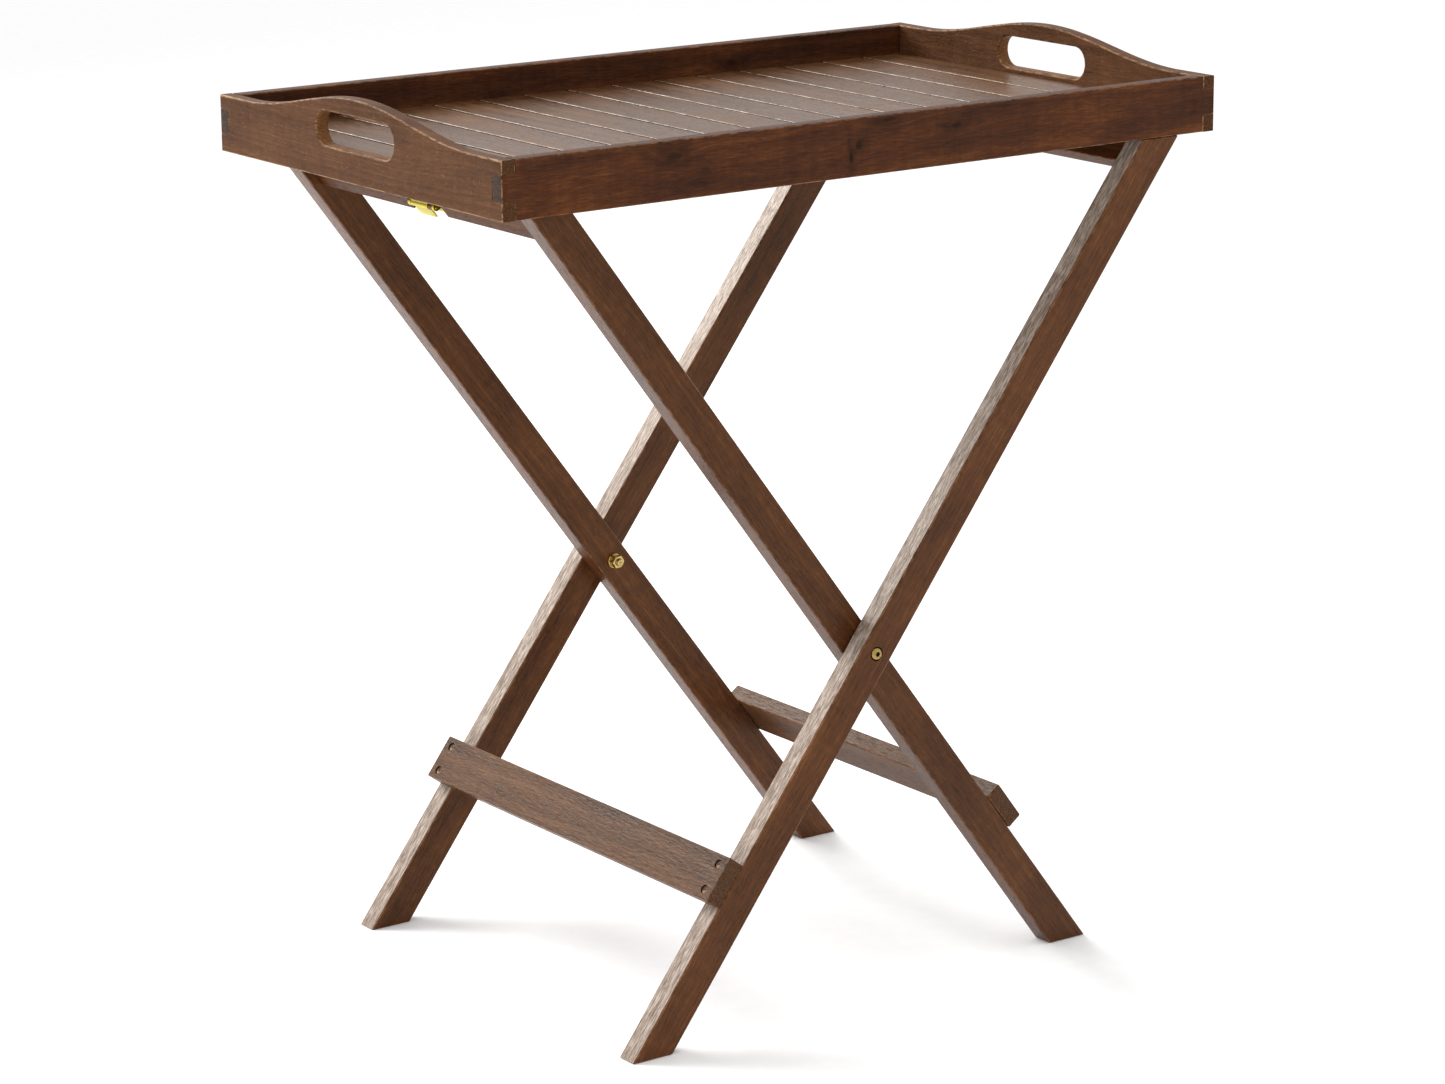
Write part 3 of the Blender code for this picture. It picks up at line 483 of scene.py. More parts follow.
# ---------------------------------------------------------------- ledgers and battens
# Plain bars glued under the slats to carry them: one along each long board, one across each end.
# The left one is cut away for the catch's keeper, and the right one bored for the two pegs.
HIDDEN_TONES = ((0.36, (0.060, 0.0300, 0.0170)), (0.47, (0.110, 0.0570, 0.0320)), (0.56, (0.150, 0.0800, 0.0450)),
                (0.68, (0.215, 0.1220, 0.0700)))
hidden_finish = stained_wood("plain_batten", HIDDEN_TONES, PALE_FLECK, END_TONES, gloss=0.56, speckle=0.2)
KEEPER_CLEAR = 0.0003
PEG_CLEAR = 0.0003


def turned(profile, sides=32):
    """A turned solid from (radius, height) pairs, its axis local Z; a radius of nothing closes an end."""
    shape = bmesh.new()
    rings = []
    for radius, height in profile:
        if radius <= 0.0:
            rings.append([shape.verts.new((0.0, 0.0, height))])
            continue
        turns = [2 * math.pi * k / sides for k in range(sides)]
        rings.append([shape.verts.new((radius * math.cos(t), radius * math.sin(t), height)) for t in turns])
    for above, below in zip(rings, rings[1:]):
        for k in range(sides):
            corners = [above[k % len(above)], above[(k + 1) % len(above)]]
            corners += [below[(k + 1) % len(below)], below[k % len(below)]]
            shape.faces.new(list(dict.fromkeys(corners)))
    bmesh.ops.recalc_face_normals(shape, faces=shape.faces)
    mesh = bpy.data.meshes.new("turned")
    shape.to_mesh(mesh)
    shape.free()
    mesh.shade_smooth()
    mesh.set_sharp_from_angle(angle=SAWN_CORNER)
    return mesh


def moved(mesh, place):
    """The same mesh, turned and shifted."""
    mesh.transform(place)
    return mesh


for name, board in (("front", 71), ("back", 74)):
    node = "floor_ledger_" + name
    low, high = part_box(node)
    size = high - low
    place = axes((low + high) / 2, (1, 0, 0), (0, 1, 0), (0, 0, 1))
    wooden("ledger_bar_" + name, block(size, 0.0009), place, hidden_finish, "tray", "hidden_wood", node,
           board=board)

low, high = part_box("latch_batten")
size, middle = high - low, (low + high) / 2
across = axes(middle, (0, 1, 0), (-1, 0, 0), (0, 0, 1))
keeper_low, keeper_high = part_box("catch_keeper")
rebate_low = across.inverted() @ (keeper_low - Vector((KEEPER_CLEAR,) * 3))
rebate_high = across.inverted() @ (keeper_high + Vector((KEEPER_CLEAR,) * 3))
reach = rebate_high.x - rebate_low.x
rebate_x = (rebate_high.x + rebate_low.x) / 2
rebate = slab([[(rebate_x - reach / 2, rebate_high.y), (rebate_x + reach / 2, rebate_high.y),
                (rebate_x + reach / 2, rebate_low.y), (rebate_x - reach / 2, rebate_low.y)]],
              rebate_low.z - 0.002, rebate_high.z)
wooden("latch_bar", block((size.y, size.x, size.z), 0.0009, holes=[rebate]), across, hidden_finish, "tray",
       "hidden_wood", "latch_batten", board=77)

low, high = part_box("peg_batten")
size, middle = high - low, (low + high) / 2
bores = []
for name in ("front", "back"):
    peg_low, peg_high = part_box("locating_peg_" + name)
    spot = (peg_low + peg_high) / 2
    radius = (peg_high - peg_low).x / 2 + PEG_CLEAR
    bore = turned([(0.0, 0.010), (radius, 0.010), (radius, -0.010), (0.0, -0.010)])
    bores.append(moved(bore, Matrix.Translation((spot.y - middle.y, middle.x - spot.x, 0.0))))
across = axes(middle, (0, 1, 0), (-1, 0, 0), (0, 0, 1))
wooden("peg_bar", block((size.y, size.x, size.z), 0.0006, holes=bores), across, hidden_finish, "tray",
       "hidden_wood", "peg_batten", board=81)


# ---------------------------------------------------------------- legs
# Four straight legs of the same wood, 30 by 20 mm, cut level at both ends and sanded round along the edges.
# The outer pair is counterbored for the pivot bolts, and the inner pair drilled for them.
LEG_ANGLE = math.radians(53.0)
LEG_WIDTH = 0.030
LEG_TONES = ((0.37, (0.029, 0.0095, 0.0032)), (0.47, (0.066, 0.0208, 0.0060)), (0.54, (0.093, 0.0310, 0.0092)),
             (0.64, (0.150, 0.0560, 0.0175)))
LEG_WORN = (0.30, 0.140, 0.060)
# Pale streaked tones for the outer legs' upward narrow faces: a painted sheen, standing for the light they reflect.
PAINTED_SHEEN_TONES = ((0.36, (0.120, 0.088, 0.064)), (0.5, (0.300, 0.240, 0.195)), (0.64, (0.560, 0.480, 0.420)))
leg_finish = stained_wood("stained_leg", LEG_TONES, LEG_WORN, RIM_END_TONES, gloss=0.32, shine=0.24, speckle=0.10,
                          sheen=(1.0, 0.78, 0.58), bare_or_sheen_tones=PAINTED_SHEEN_TONES)
bolt_low, bolt_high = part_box("pivot_bolt_front")
PIVOT = Vector((0.0, 0.0, (bolt_low.z + bolt_high.z) / 2))
BOLT_RECESS = 0.0022
BOLT_RECESS_RADIUS = 0.00595
BOLT_BORE = 0.0033
FRAMES = (("outer", 1, "outer_frame"), ("inner", -1, "inner_frame"))


def leg_directions(lean):
    """Up the leg, and across its width. The outer frame leans to the right and the inner to the left."""
    run = Vector((lean * math.cos(LEG_ANGLE), 0.0, math.sin(LEG_ANGLE)))
    return run, Vector((-run.z, 0.0, run.x))


def station_at(lean, height, offset):
    """How far up the leg from the pivot a line at this offset meets a height."""
    return (height - PIVOT.z - offset * lean * math.cos(LEG_ANGLE)) / math.sin(LEG_ANGLE)


for label, lean, body in FRAMES:
    run, side = leg_directions(lean)
    for name, way in (("front", -1), ("back", 1)):
        node = "leg_%s_%s" % (label, name)
        low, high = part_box(node)
        half_width, half_thick = LEG_WIDTH / 2, (high.y - low.y) / 2
        outline = [(station_at(lean, z, offset), offset) for z, offset in
                   ((low.z, -half_width), (high.z, -half_width), (high.z, half_width), (low.z, half_width))]
        holes = [turned([(0.0, 0.03), (BOLT_BORE, 0.03), (BOLT_BORE, -0.03), (0.0, -0.03)])]
        if label == "outer":
            deep = half_thick - BOLT_RECESS
            recess = turned([(0.0, -0.02), (BOLT_RECESS_RADIUS, -0.02), (BOLT_RECESS_RADIUS, -deep),
                             (0.0, -deep)])
            if way < 0:
                recess = turned([(0.0, 0.02), (BOLT_RECESS_RADIUS, 0.02), (BOLT_RECESS_RADIUS, deep),
                                 (0.0, deep)])
            holes.append(recess)
        bore_reach = BOLT_RECESS_RADIUS + 0.001

        def leg_arris(spot):
            """Barely broken round the bolt's hole, a sanded round everywhere else."""
            return 0.0003 if abs(spot.x) < bore_reach and abs(spot.y) < bore_reach else 0.0014

        mesh = eased(slab([outline], -half_thick, half_thick), leg_arris, holes=holes)
        # The outer legs' upward narrow faces get the painted sheen.
        if label == "outer":
            painted_sheen = mesh.attributes.new("bare_or_sheen", "FLOAT", "FACE")
            for face in mesh.polygons:
                painted_sheen.data[face.index].value = 0.85 if face.normal.y > 0.95 else 0.0
        place = axes(PIVOT + Vector((0.0, (low.y + high.y) / 2, 0.0)), run, side, (0, -1, 0))
        wooden("leg_bar_%s_%s" % (label, name), mesh, place, leg_finish, body, "leg_wood", node,
               board=100 + 7 * lean + 2 * way)


# ---------------------------------------------------------------- lower rails
# A flat rail screwed across the foot of each frame, lying on the legs' upper faces.
# Four countersunk holes show on each, and the planer has left a fine ripple along the face.
RAIL_TONES = ((0.37, (0.034, 0.0140, 0.0060)), (0.47, (0.070, 0.0280, 0.0110)), (0.55, (0.098, 0.0410, 0.0160)),
              (0.65, (0.150, 0.0690, 0.0290)))
rail_finish = stained_wood("stained_rail", RAIL_TONES, LEG_WORN, SHORT_END_TONES, gloss=0.37, shine=0.17,
                           ripple=1.8, speckle=0.15)
RAIL_THICKNESS = 0.015
RAIL_WIDTH = 0.0385
RAIL_FACE = LEG_WIDTH / 2 + JOINT_GAP
LOWER_STATION = -0.2182
SCREW_SPREAD = 0.0225
SCREW_HEAD = 0.0033
SCREW_SHANK = 0.0017
SCREW_SINK = 0.0013
SCREW_CONE = 0.0018
SCREW_LENGTH = 0.030


def rail_place(lean):
    """A rail's own directions: X along its grain, Y up the leg, Z back through its thickness."""
    run, side = leg_directions(lean)
    return axes(PIVOT, (0, 1, 0), run, -side)


def carried(section, half_length):
    """A section in (station, offset), carried along the rail's length."""
    mesh = slab([[(station, -offset) for station, offset in section]], -half_length, half_length)
    mesh.transform(axes((0, 0, 0), (0, 1, 0), (0, 0, 1), (1, 0, 0)))
    shape = bmesh.new()
    shape.from_mesh(mesh)
    bmesh.ops.recalc_face_normals(shape, faces=shape.faces)
    shape.to_mesh(mesh)
    shape.free()
    return mesh


def driven(lean, x, station, offset):
    """A screw's place in the rail's directions: its axis, local Z, comes out of the offset's face."""
    out = -1.0 if offset > 0 else 1.0
    return axes((x, station, -offset), (1, 0, 0), (0, out, 0), (0, 0, out))


def countersink(head, shank, sink, cone, length):
    """The hole for a countersunk screw, from above the wood's surface down."""
    return [(0.0, 0.003), (head, 0.003), (head, -sink), (shank, -sink - cone), (shank, -length), (0.0, -length)]


def round_bar(spot, others, radius, value, otherwise):
    """One arris close to any of these places, another one elsewhere."""
    near = any((spot - other).length < radius for other in others)
    return value if near else otherwise


for label, lean, body in FRAMES:
    node = "lower_rail_" + label
    low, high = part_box(node)
    half_length = (high.y - low.y) / 2
    inner, outer = lean * RAIL_FACE, lean * (RAIL_FACE + RAIL_THICKNESS)
    foot, top = LOWER_STATION - RAIL_WIDTH / 2, LOWER_STATION + RAIL_WIDTH / 2
    leg_low, leg_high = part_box("leg_%s_back" % label)
    leg_y = (leg_low.y + leg_high.y) / 2
    spots = [(way * leg_y, LOWER_STATION + step * SCREW_SPREAD / 2) for way in (-1, 1) for step in (-1, 1)]
    holes = []
    mouths = []
    for y, station in spots:
        hole = turned(countersink(SCREW_HEAD + JOINT_GAP, SCREW_SHANK + JOINT_GAP, SCREW_SINK + JOINT_GAP,
                                  SCREW_CONE + JOINT_GAP, SCREW_LENGTH))
        holes.append(moved(hole, driven(lean, y, station, outer)))
        mouths += [Vector((y, station, -outer)), Vector((y, station, -inner))]
    section = [(foot, inner), (foot, outer), (top, outer), (top, inner)]
    mesh = eased(carried(section, half_length), lambda spot: round_bar(spot, mouths, 0.006, 0.0004, 0.0015),
                 holes=holes)
    wooden("foot_rail_" + label, mesh, rail_place(lean), rail_finish, body, "leg_wood", node,
           board=131 + 5 * lean)


# ---------------------------------------------------------------- upper rails
# A rail between the legs at the top of each frame, tenoned into them and planed level with their tops.
# The inner one is notched on its outer face for the brass catch; the outer one is bored for the pegs.
UPPER_BOTTOM = 0.4496
CATCH_NOTCH_LENGTH = 0.048
CATCH_NOTCH_DEPTH = 0.0052
NOTCH_SCOOP = 0.0067       # the near end of the notch is scooped out with a round cutter
NOTCH_SCOOP_STEPS = 8
upper_finish = stained_wood("stained_top_rail", LEG_TONES, LEG_WORN, RIM_END_TONES, gloss=0.45, shine=0.07,
                            speckle=0.14, sheen=(1.0, 0.74, 0.50))
for label, lean, body in FRAMES:
    node = "upper_rail_" + label
    leg_low, leg_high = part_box("leg_%s_back" % label)
    half_length = leg_low.y - JOINT_GAP
    half = RAIL_THICKNESS / 2
    section = [(UPPER_BOTTOM, half), (UPPER_BOTTOM, -half)]
    section += [(station_at(lean, leg_high.z, offset), offset) for offset in (-half, half)]
    holes = []
    if label == "inner":
        floor, end = half - CATCH_NOTCH_DEPTH, CATCH_NOTCH_LENGTH / 2
        opening = [(end, -half - 0.003), (end, -floor)]
        for step in range(NOTCH_SCOOP_STEPS + 1):
            turn = math.pi / 2 * (1 - step / NOTCH_SCOOP_STEPS)
            opening.append((NOTCH_SCOOP - end - NOTCH_SCOOP * math.cos(turn),
                            -half + CATCH_NOTCH_DEPTH * math.sin(turn)))
        opening.append((-end, -half - 0.003))
        notch = slab([opening], UPPER_BOTTOM - 0.003, UPPER_BOTTOM + 0.05)
        notch.transform(axes((0, 0, 0), (1, 0, 0), (0, 0, 1), (0, 1, 0)))
        notch.flip_normals()
        holes.append(notch)
    else:
        for name in ("front", "back"):
            peg_low, peg_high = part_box("locating_peg_" + name)
            spot = (peg_low + peg_high) / 2
            radius = (peg_high - peg_low).x / 2 + PEG_CLEAR
            bore = turned([(0.0, 0.02), (radius, 0.02), (radius, -0.008), (0.0, -0.008)])
            world = Matrix.Translation((spot.x, spot.y, leg_high.z))
            holes.append(moved(bore, rail_place(lean).inverted() @ world))
    mesh = eased(carried(section, half_length), lambda spot: 0.0011, holes=holes)
    wooden("top_rail_" + label, mesh, rail_place(lean), upper_finish, body, "leg_wood", node, board=151 + 5 * lean)


# ---------------------------------------------------------------- rail screws
# Countersunk wood screws, blacked steel gone brown, driven below the rail's face into the legs.
# Each has a dished head with a cross recess and a rolled thread.
def wear_glint_and_shade_marks(mesh):
    """Mark a metal piece: outward edges get wear and a painted highlight, inward corners patina and painted shade."""
    shape = bmesh.new()
    shape.from_mesh(mesh)
    bright, patina_and_shade = [], []
    for point in shape.verts:
        bends = [edge.calc_face_angle_signed(0.0) for edge in point.link_edges]
        bright.append(min(max(max(bends, default=0.0), 0.0) / 0.9, 1.0))
        patina_and_shade.append(min(max(-min(bends, default=0.0), 0.0) / 0.9, 1.0))
    shape.free()
    for name, values in (("bright", bright), ("patina_and_shade", patina_and_shade)):
        mesh.attributes.new(name, "FLOAT", "POINT").data.foreach_set("value", values)


def metal(name, tones, rough, scratch=0.25, tarnish=(0.1, 0.06, 0.03), dull=0.3, grain=900.0):
    """Handled metal: uneven tone, fine scratches, dull patches, outward edges made lighter by wear and a painted
    highlight, inward corners darker with patina and painted shade.
    """
    skin = Recipe(name)
    here = skin.add("TexCoord").outputs["Object"]
    cloud = skin.noise(here, (240.0, 240.0, 240.0), 3.0, 0.6).outputs[0]
    lines = skin.noise(here, (grain * 0.25, grain * 3.0, grain), 2.0, 0.7).outputs[0]
    shade = skin.sum("MULTIPLY_ADD", lines, 0.4, skin.sum("MULTIPLY", cloud, 0.6))
    colour = skin.tones(shade, tones)
    patches = skin.step(skin.noise(here, (420.0, 420.0, 420.0), 4.0, 0.7).outputs[0], 0.52, 0.72)
    colour = skin.mix(skin.sum("MULTIPLY", patches, dull), colour, tarnish)
    # Outward edges painted lighter: wear plus a painted highlight. Inward corners painted darker: patina plus painted
    # shade.
    colour = skin.mix(skin.sum("MULTIPLY", skin.mark("bright"), 0.75), colour, [min(1.0, 1.35 * part) for part in
                                                                              tones[-1][1]])
    colour = skin.mix(skin.sum("MULTIPLY", skin.mark("patina_and_shade"), 0.85), colour, [0.12 * part for part in tones[0][1]])
    skin.wire("Base Color", colour)
    gloss = skin.step(shade, 0.3, 0.7, rough - 0.06, rough + 0.12)
    skin.wire("Roughness", skin.sum("MULTIPLY_ADD", patches, 0.22, gloss, clamp=True))
    height = skin.sum("MULTIPLY_ADD", lines, scratch, skin.sum("MULTIPLY", patches, -0.3))
    skin.wire("Normal", skin.add("Bump", {"Strength": 0.3, "Distance": 0.00008, "Height": height}).outputs[0])
    skin.constant({"Metallic": 1.0})
    return skin.material


screw_finish = metal("browned_steel", ((0.3, (0.030, 0.018, 0.011)), (0.5, (0.075, 0.045, 0.028)),
                                       (0.7, (0.190, 0.125, 0.080))), 0.42)


def cross_recess(reach, depth):
    """The cutter for a cross recess, tapering as it goes down."""
    half = reach * 0.22
    loop = []
    for turn in range(4):
        angle = math.pi / 2 * turn
        for u, v in ((reach, -half), (reach, half), (half, half)):
            loop.append((u * math.cos(angle) - v * math.sin(angle), u * math.sin(angle) + v * math.cos(angle)))
    mesh = slab([loop], -depth, depth)
    for point in mesh.vertices:
        if point.co.z < 0:
            point.co.x *= 0.45
            point.co.y *= 0.45
    return mesh


def wood_screw(head, shank, cone, length, pitch):
    """A countersunk screw whose head's rim is at Z = 0: dished top, cross recess, threaded shank."""
    profile = [(0.0, -head * 0.10), (head * 0.55, -head * 0.07), (head * 0.90, 0.0), (head, -head * 0.05),
               (shank, -cone)]
    core = shank * 0.80
    depth = -cone - 2 * pitch
    while depth > -length + 3 * pitch:
        profile += [(core, depth), (shank, depth - pitch * 0.35), (core, depth - pitch * 0.7)]
        depth -= pitch
    profile += [(core, depth), (0.0, -length)]
    made = joined_or_cut(turned(profile, 24), [cross_recess(head * 0.62, head * 0.55)], "DIFFERENCE")
    made.shade_smooth()
    made.set_sharp_from_angle(angle=SAWN_CORNER)
    return made


for label, lean, body in FRAMES:
    outer = lean * (RAIL_FACE + RAIL_THICKNESS)
    leg_low, leg_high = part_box("leg_%s_back" % label)
    leg_y = (leg_low.y + leg_high.y) / 2
    for name, way in (("front", -1), ("back", 1)):
        for level, step in (("low", -1), ("high", 1)):
            mesh = wood_screw(SCREW_HEAD, SCREW_SHANK, SCREW_CONE, SCREW_LENGTH - SCREW_SINK, 0.0012)
            spot = driven(lean, way * leg_y, LOWER_STATION + step * SCREW_SPREAD / 2, outer)
            sunk = spot @ Matrix.Translation((0, 0, -SCREW_SINK)) @ Matrix.Rotation(0.4 + way + 0.7 * step, 4, "Z")
            node = "rail_screw_%s_%s_%s" % (label, name, level)
            fitted("foot_screw_%s_%s_%s" % (label, name, level), mesh, rail_place(lean) @ sunk, screw_finish, body,
                   "screw_steel", node)


# ---------------------------------------------------------------- pivots
# At each side one brass button-head bolt goes through both legs, a spacer, a washer and a nut.
# Its head sits in a shallow counterbore, turned with fine rings round a small hexagon socket.
BRASS_TONES = ((0.30, (0.130, 0.080, 0.022)), (0.48, (0.290, 0.195, 0.058)), (0.70, (0.560, 0.420, 0.160)))
brass_finish = metal("aged_brass", BRASS_TONES, 0.24, tarnish=(0.20, 0.110, 0.035), dull=0.35)
OUTER_SKIN = 0.205
BOLT_HEAD_RADIUS = 0.00525
BOLT_HEAD_HEIGHT = 0.0033
BOLT_RADIUS = 0.003
SOCKET_FLATS = 0.004
SEAT = -0.0019
THREAD_PITCH = 0.0010


def hexagon(flats):
    """A hexagon's corners, from its size across the flats."""
    return [(flats / math.sqrt(3) * math.cos(math.pi * k / 3), flats / math.sqrt(3) * math.sin(math.pi * k / 3))
            for k in range(6)]


def pivot_bolt(length):
    """A button head with a ringed dome and a hexagon socket; the end of its shank is threaded."""
    dome = [(0.0, SEAT + BOLT_HEAD_HEIGHT), (0.46 * BOLT_HEAD_RADIUS, SEAT + BOLT_HEAD_HEIGHT)]
    steps = 10
    for step in range(steps + 1):
        turn = math.pi / 2 * step / steps
        radius = BOLT_HEAD_RADIUS * (0.55 + 0.45 * math.sin(turn))
        ring = 0.00006 if step % 2 and step < steps - 1 else 0.0
        dome.append((radius, SEAT + BOLT_HEAD_HEIGHT * math.cos(turn) * 0.98 - ring))
    shank = [(BOLT_RADIUS, SEAT)]
    depth = -length + 12 * THREAD_PITCH
    while depth > -length + THREAD_PITCH:
        shank += [(BOLT_RADIUS, depth), (BOLT_RADIUS * 0.84, depth - THREAD_PITCH / 2)]
        depth -= THREAD_PITCH
    shank += [(BOLT_RADIUS * 0.9, -length + 0.0004), (BOLT_RADIUS * 0.78, -length), (0.0, -length)]
    socket = slab([hexagon(SOCKET_FLATS)], SEAT + BOLT_HEAD_HEIGHT - 0.002, 0.01)
    made = joined_or_cut(turned(dome + shank, 48), [socket], "DIFFERENCE")
    made.shade_smooth()
    made.set_sharp_from_angle(angle=SAWN_CORNER)
    return made


def ring_plate(outer, inner, thickness, edge):
    """A washer with both rims eased."""
    half = thickness / 2
    profile = [(inner, half), (outer - edge, half), (outer, half - edge), (outer, edge - half),
               (outer - edge, -half), (inner, -half), (inner, half)]
    shape = bmesh.new()
    shape.from_mesh(turned(profile, 48))
    bmesh.ops.remove_doubles(shape, verts=shape.verts, dist=0.000001)
    bmesh.ops.recalc_face_normals(shape, faces=shape.faces)
    mesh = bpy.data.meshes.new("ring")
    shape.to_mesh(mesh)
    shape.free()
    mesh.shade_smooth()
    mesh.set_sharp_from_angle(angle=SAWN_CORNER)
    return mesh


def chamfered_nut(flats, height, bore):
    """A hexagon nut with its corners turned off at both faces, and a threaded bore."""
    half = height / 2
    across = flats / math.sqrt(3)
    cone = turned([(0.0, half), (flats * 0.48, half), (across * 1.03, half - 0.0009),
                   (across * 1.03, 0.0009 - half), (flats * 0.48, -half), (0.0, -half)], 48)
    body = joined_or_cut(slab([hexagon(flats)], -half, half), [cone], "INTERSECT")
    thread = [(0.0, half + 0.001), (bore, half + 0.001)]
    depth = half
    while depth > -half:
        thread += [(bore, depth), (bore * 1.06, depth - THREAD_PITCH / 2)]
        depth -= THREAD_PITCH
    thread += [(bore, -half - 0.001), (0.0, -half - 0.001)]
    made = joined_or_cut(body, [turned(thread, 32)], "DIFFERENCE")
    made.shade_smooth()
    made.set_sharp_from_angle(angle=SAWN_CORNER)
    return made


for name, way in (("front", -1), ("back", 1)):
    out = axes(PIVOT + Vector((0, way * OUTER_SKIN, 0)), (1, 0, 0), (0, 0, -way), (0, way, 0))
    low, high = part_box("pivot_bolt_" + name)
    length = OUTER_SKIN - min(abs(low.y), abs(high.y))
    fitted("pivot_button_" + name, pivot_bolt(length), out, brass_finish, "outer_frame", "brass",
           "pivot_bolt_" + name)
    for part, label, edge in (("spacer", "pivot_ring_", 0.0001), ("washer", "pivot_disc_", 0.00025)):
        low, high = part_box("pivot_%s_%s" % (part, name))
        ring = ring_plate((high.x - low.x) / 2, BOLT_BORE, high.y - low.y, edge)
        place = axes((low + high) / 2, (1, 0, 0), (0, 0, -way), (0, way, 0))
        fitted(label + name, ring, place, brass_finish, "outer_frame", "brass", "pivot_%s_%s" % (part, name))
    low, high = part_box("pivot_nut_" + name)
    place = axes((low + high) / 2, (1, 0, 0), (0, 0, -way), (0, way, 0))
    fitted("pivot_hexagon_" + name, chamfered_nut(0.010, high.y - low.y, BOLT_BORE), place, brass_finish,
           "outer_frame", "brass", "pivot_nut_" + name)


# ---------------------------------------------------------------- locating pegs
# Two short fluted dowels stand in the outer frame's top rail and go up into the tray's right batten.
for name, board in (("front", 171), ("back", 174)):
    low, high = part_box("locating_peg_" + name)
    radius, long = (high.x - low.x) / 2, high.z - low.z
    shape = bmesh.new()
    shape.from_mesh(turned([(0.0, long / 2), (radius * 0.72, long / 2), (radius, long / 2 - 0.0012),
                            (radius, -long / 2 + 0.0006), (radius * 0.85, -long / 2), (0.0, -long / 2)], 48))
    for point in shape.verts:
        turn = math.atan2(point.co.y, point.co.x)
        if point.co.xy.length > 0.8 * radius:
            point.co.xy *= 1.0 - 0.05 * (0.5 + 0.5 * math.cos(12 * turn))
    mesh = bpy.data.meshes.new("dowel")
    shape.to_mesh(mesh)
    shape.free()
    mesh.shade_smooth()
    mesh.set_sharp_from_angle(angle=SAWN_CORNER)
    mesh.transform(axes((0, 0, 0), (0, 1, 0), (0, 0, 1), (1, 0, 0)))
    place = axes((low + high) / 2, (0, 0, 1), (1, 0, 0), (0, 1, 0))
    wooden("dowel_" + name, mesh, place, hidden_finish, "outer_frame", "hidden_wood", "locating_peg_" + name,
           board=board)


# ---------------------------------------------------------------- keeper
# A small brass plate let into the left batten from below and screwed there; the catch hooks over its edge.
KEEPER_SCREW_HEAD = 0.0020
low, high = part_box("catch_keeper")
size, middle = high - low, (low + high) / 2
holes, spots = [], []
for name in ("front", "back"):
    screw_low, screw_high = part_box("keeper_screw_" + name)
    spot = (screw_low + screw_high) / 2 - middle
    spot.z = -size.z / 2
    hole = turned(countersink(KEEPER_SCREW_HEAD + JOINT_GAP, 0.0013, 0.0, 0.0010, 0.004), 24)
    holes.append(moved(hole, Matrix.Translation(spot) @ Matrix.Rotation(math.pi, 4, "X")))
    spots.append(spot)
mesh = block(size, 0.00025, holes=holes)
fitted("keeper_plate", mesh, Matrix.Translation(middle), brass_finish, "tray", "brass", "catch_keeper")
for name, spot in zip(("front", "back"), spots):
    mesh = wood_screw(KEEPER_SCREW_HEAD, 0.0010, 0.0009, 0.0085, 0.0008)
    place = Matrix.Translation(middle + spot) @ Matrix.Rotation(math.pi, 4, "X") @ Matrix.Rotation(spot.y * 90, 4, "Z")
    fitted("keeper_fixing_" + name, mesh, place, brass_finish, "tray", "brass", "keeper_screw_" + name)


# ---------------------------------------------------------------- catch
# A small sprung catch of folded brass, let into the inner top rail: a base with two ears, a pin through
# them, a lever rolled round the pin and a torsion spring that keeps the lever's nose over the keeper.
catch_finish = metal("bright_brass", ((0.30, (0.120, 0.085, 0.006)), (0.48, (0.300, 0.235, 0.012)),
                                      (0.70, (0.560, 0.460, 0.040))), 0.30, tarnish=(0.08, 0.055, 0.006), dull=0.55)
CATCH_SHEET = 0.0015
BASE_SHEET = 0.0012
PIN_STATION = 0.4586
PIN_RADIUS = 0.0012
BARREL_RADIUS = 0.0027
LEVER_WIDTH = 0.024
LEVER_Y = 0.005
LEVER_PROUD = 0.0010
CATCH_TAB = 0.0024
NOSE_LIFT = 0.0012
NOSE_BITE = 0.0025
BASE_LENGTH = 0.039
BASE_Y = 0.0025
BASE_HEIGHT = 0.0186
EAR_HALF = 0.0030
EAR_PROUD = 0.0018
EAR_THICKNESS = 0.0028
EAR_INSET = 0.0006
in_rail = rail_place(-1)
half = RAIL_THICKNESS / 2
lever_skin = half + LEVER_PROUD
lever_back = lever_skin - CATCH_SHEET
pin_offset = (lever_skin + lever_back) / 2
base_back = half - CATCH_NOTCH_DEPTH + JOINT_GAP
base_face = base_back + BASE_SHEET
base_low = UPPER_BOTTOM + 0.0004


def carried_between(section, low_y, high_y):
    """A section in (station, offset), carried between two places along the rail."""
    return moved(carried(section, (high_y - low_y) / 2), Matrix.Translation(((low_y + high_y) / 2, 0, 0)))


def disc(radius, steps=24, start=0.0, end=2 * math.pi, centre=(PIN_STATION, pin_offset)):
    """Points of an arc round the pin."""
    count = steps if end - start >= 2 * math.pi else steps + 1
    return [(centre[0] + radius * math.cos(start + (end - start) * k / steps),
             centre[1] + radius * math.sin(start + (end - start) * k / steps)) for k in range(count)]


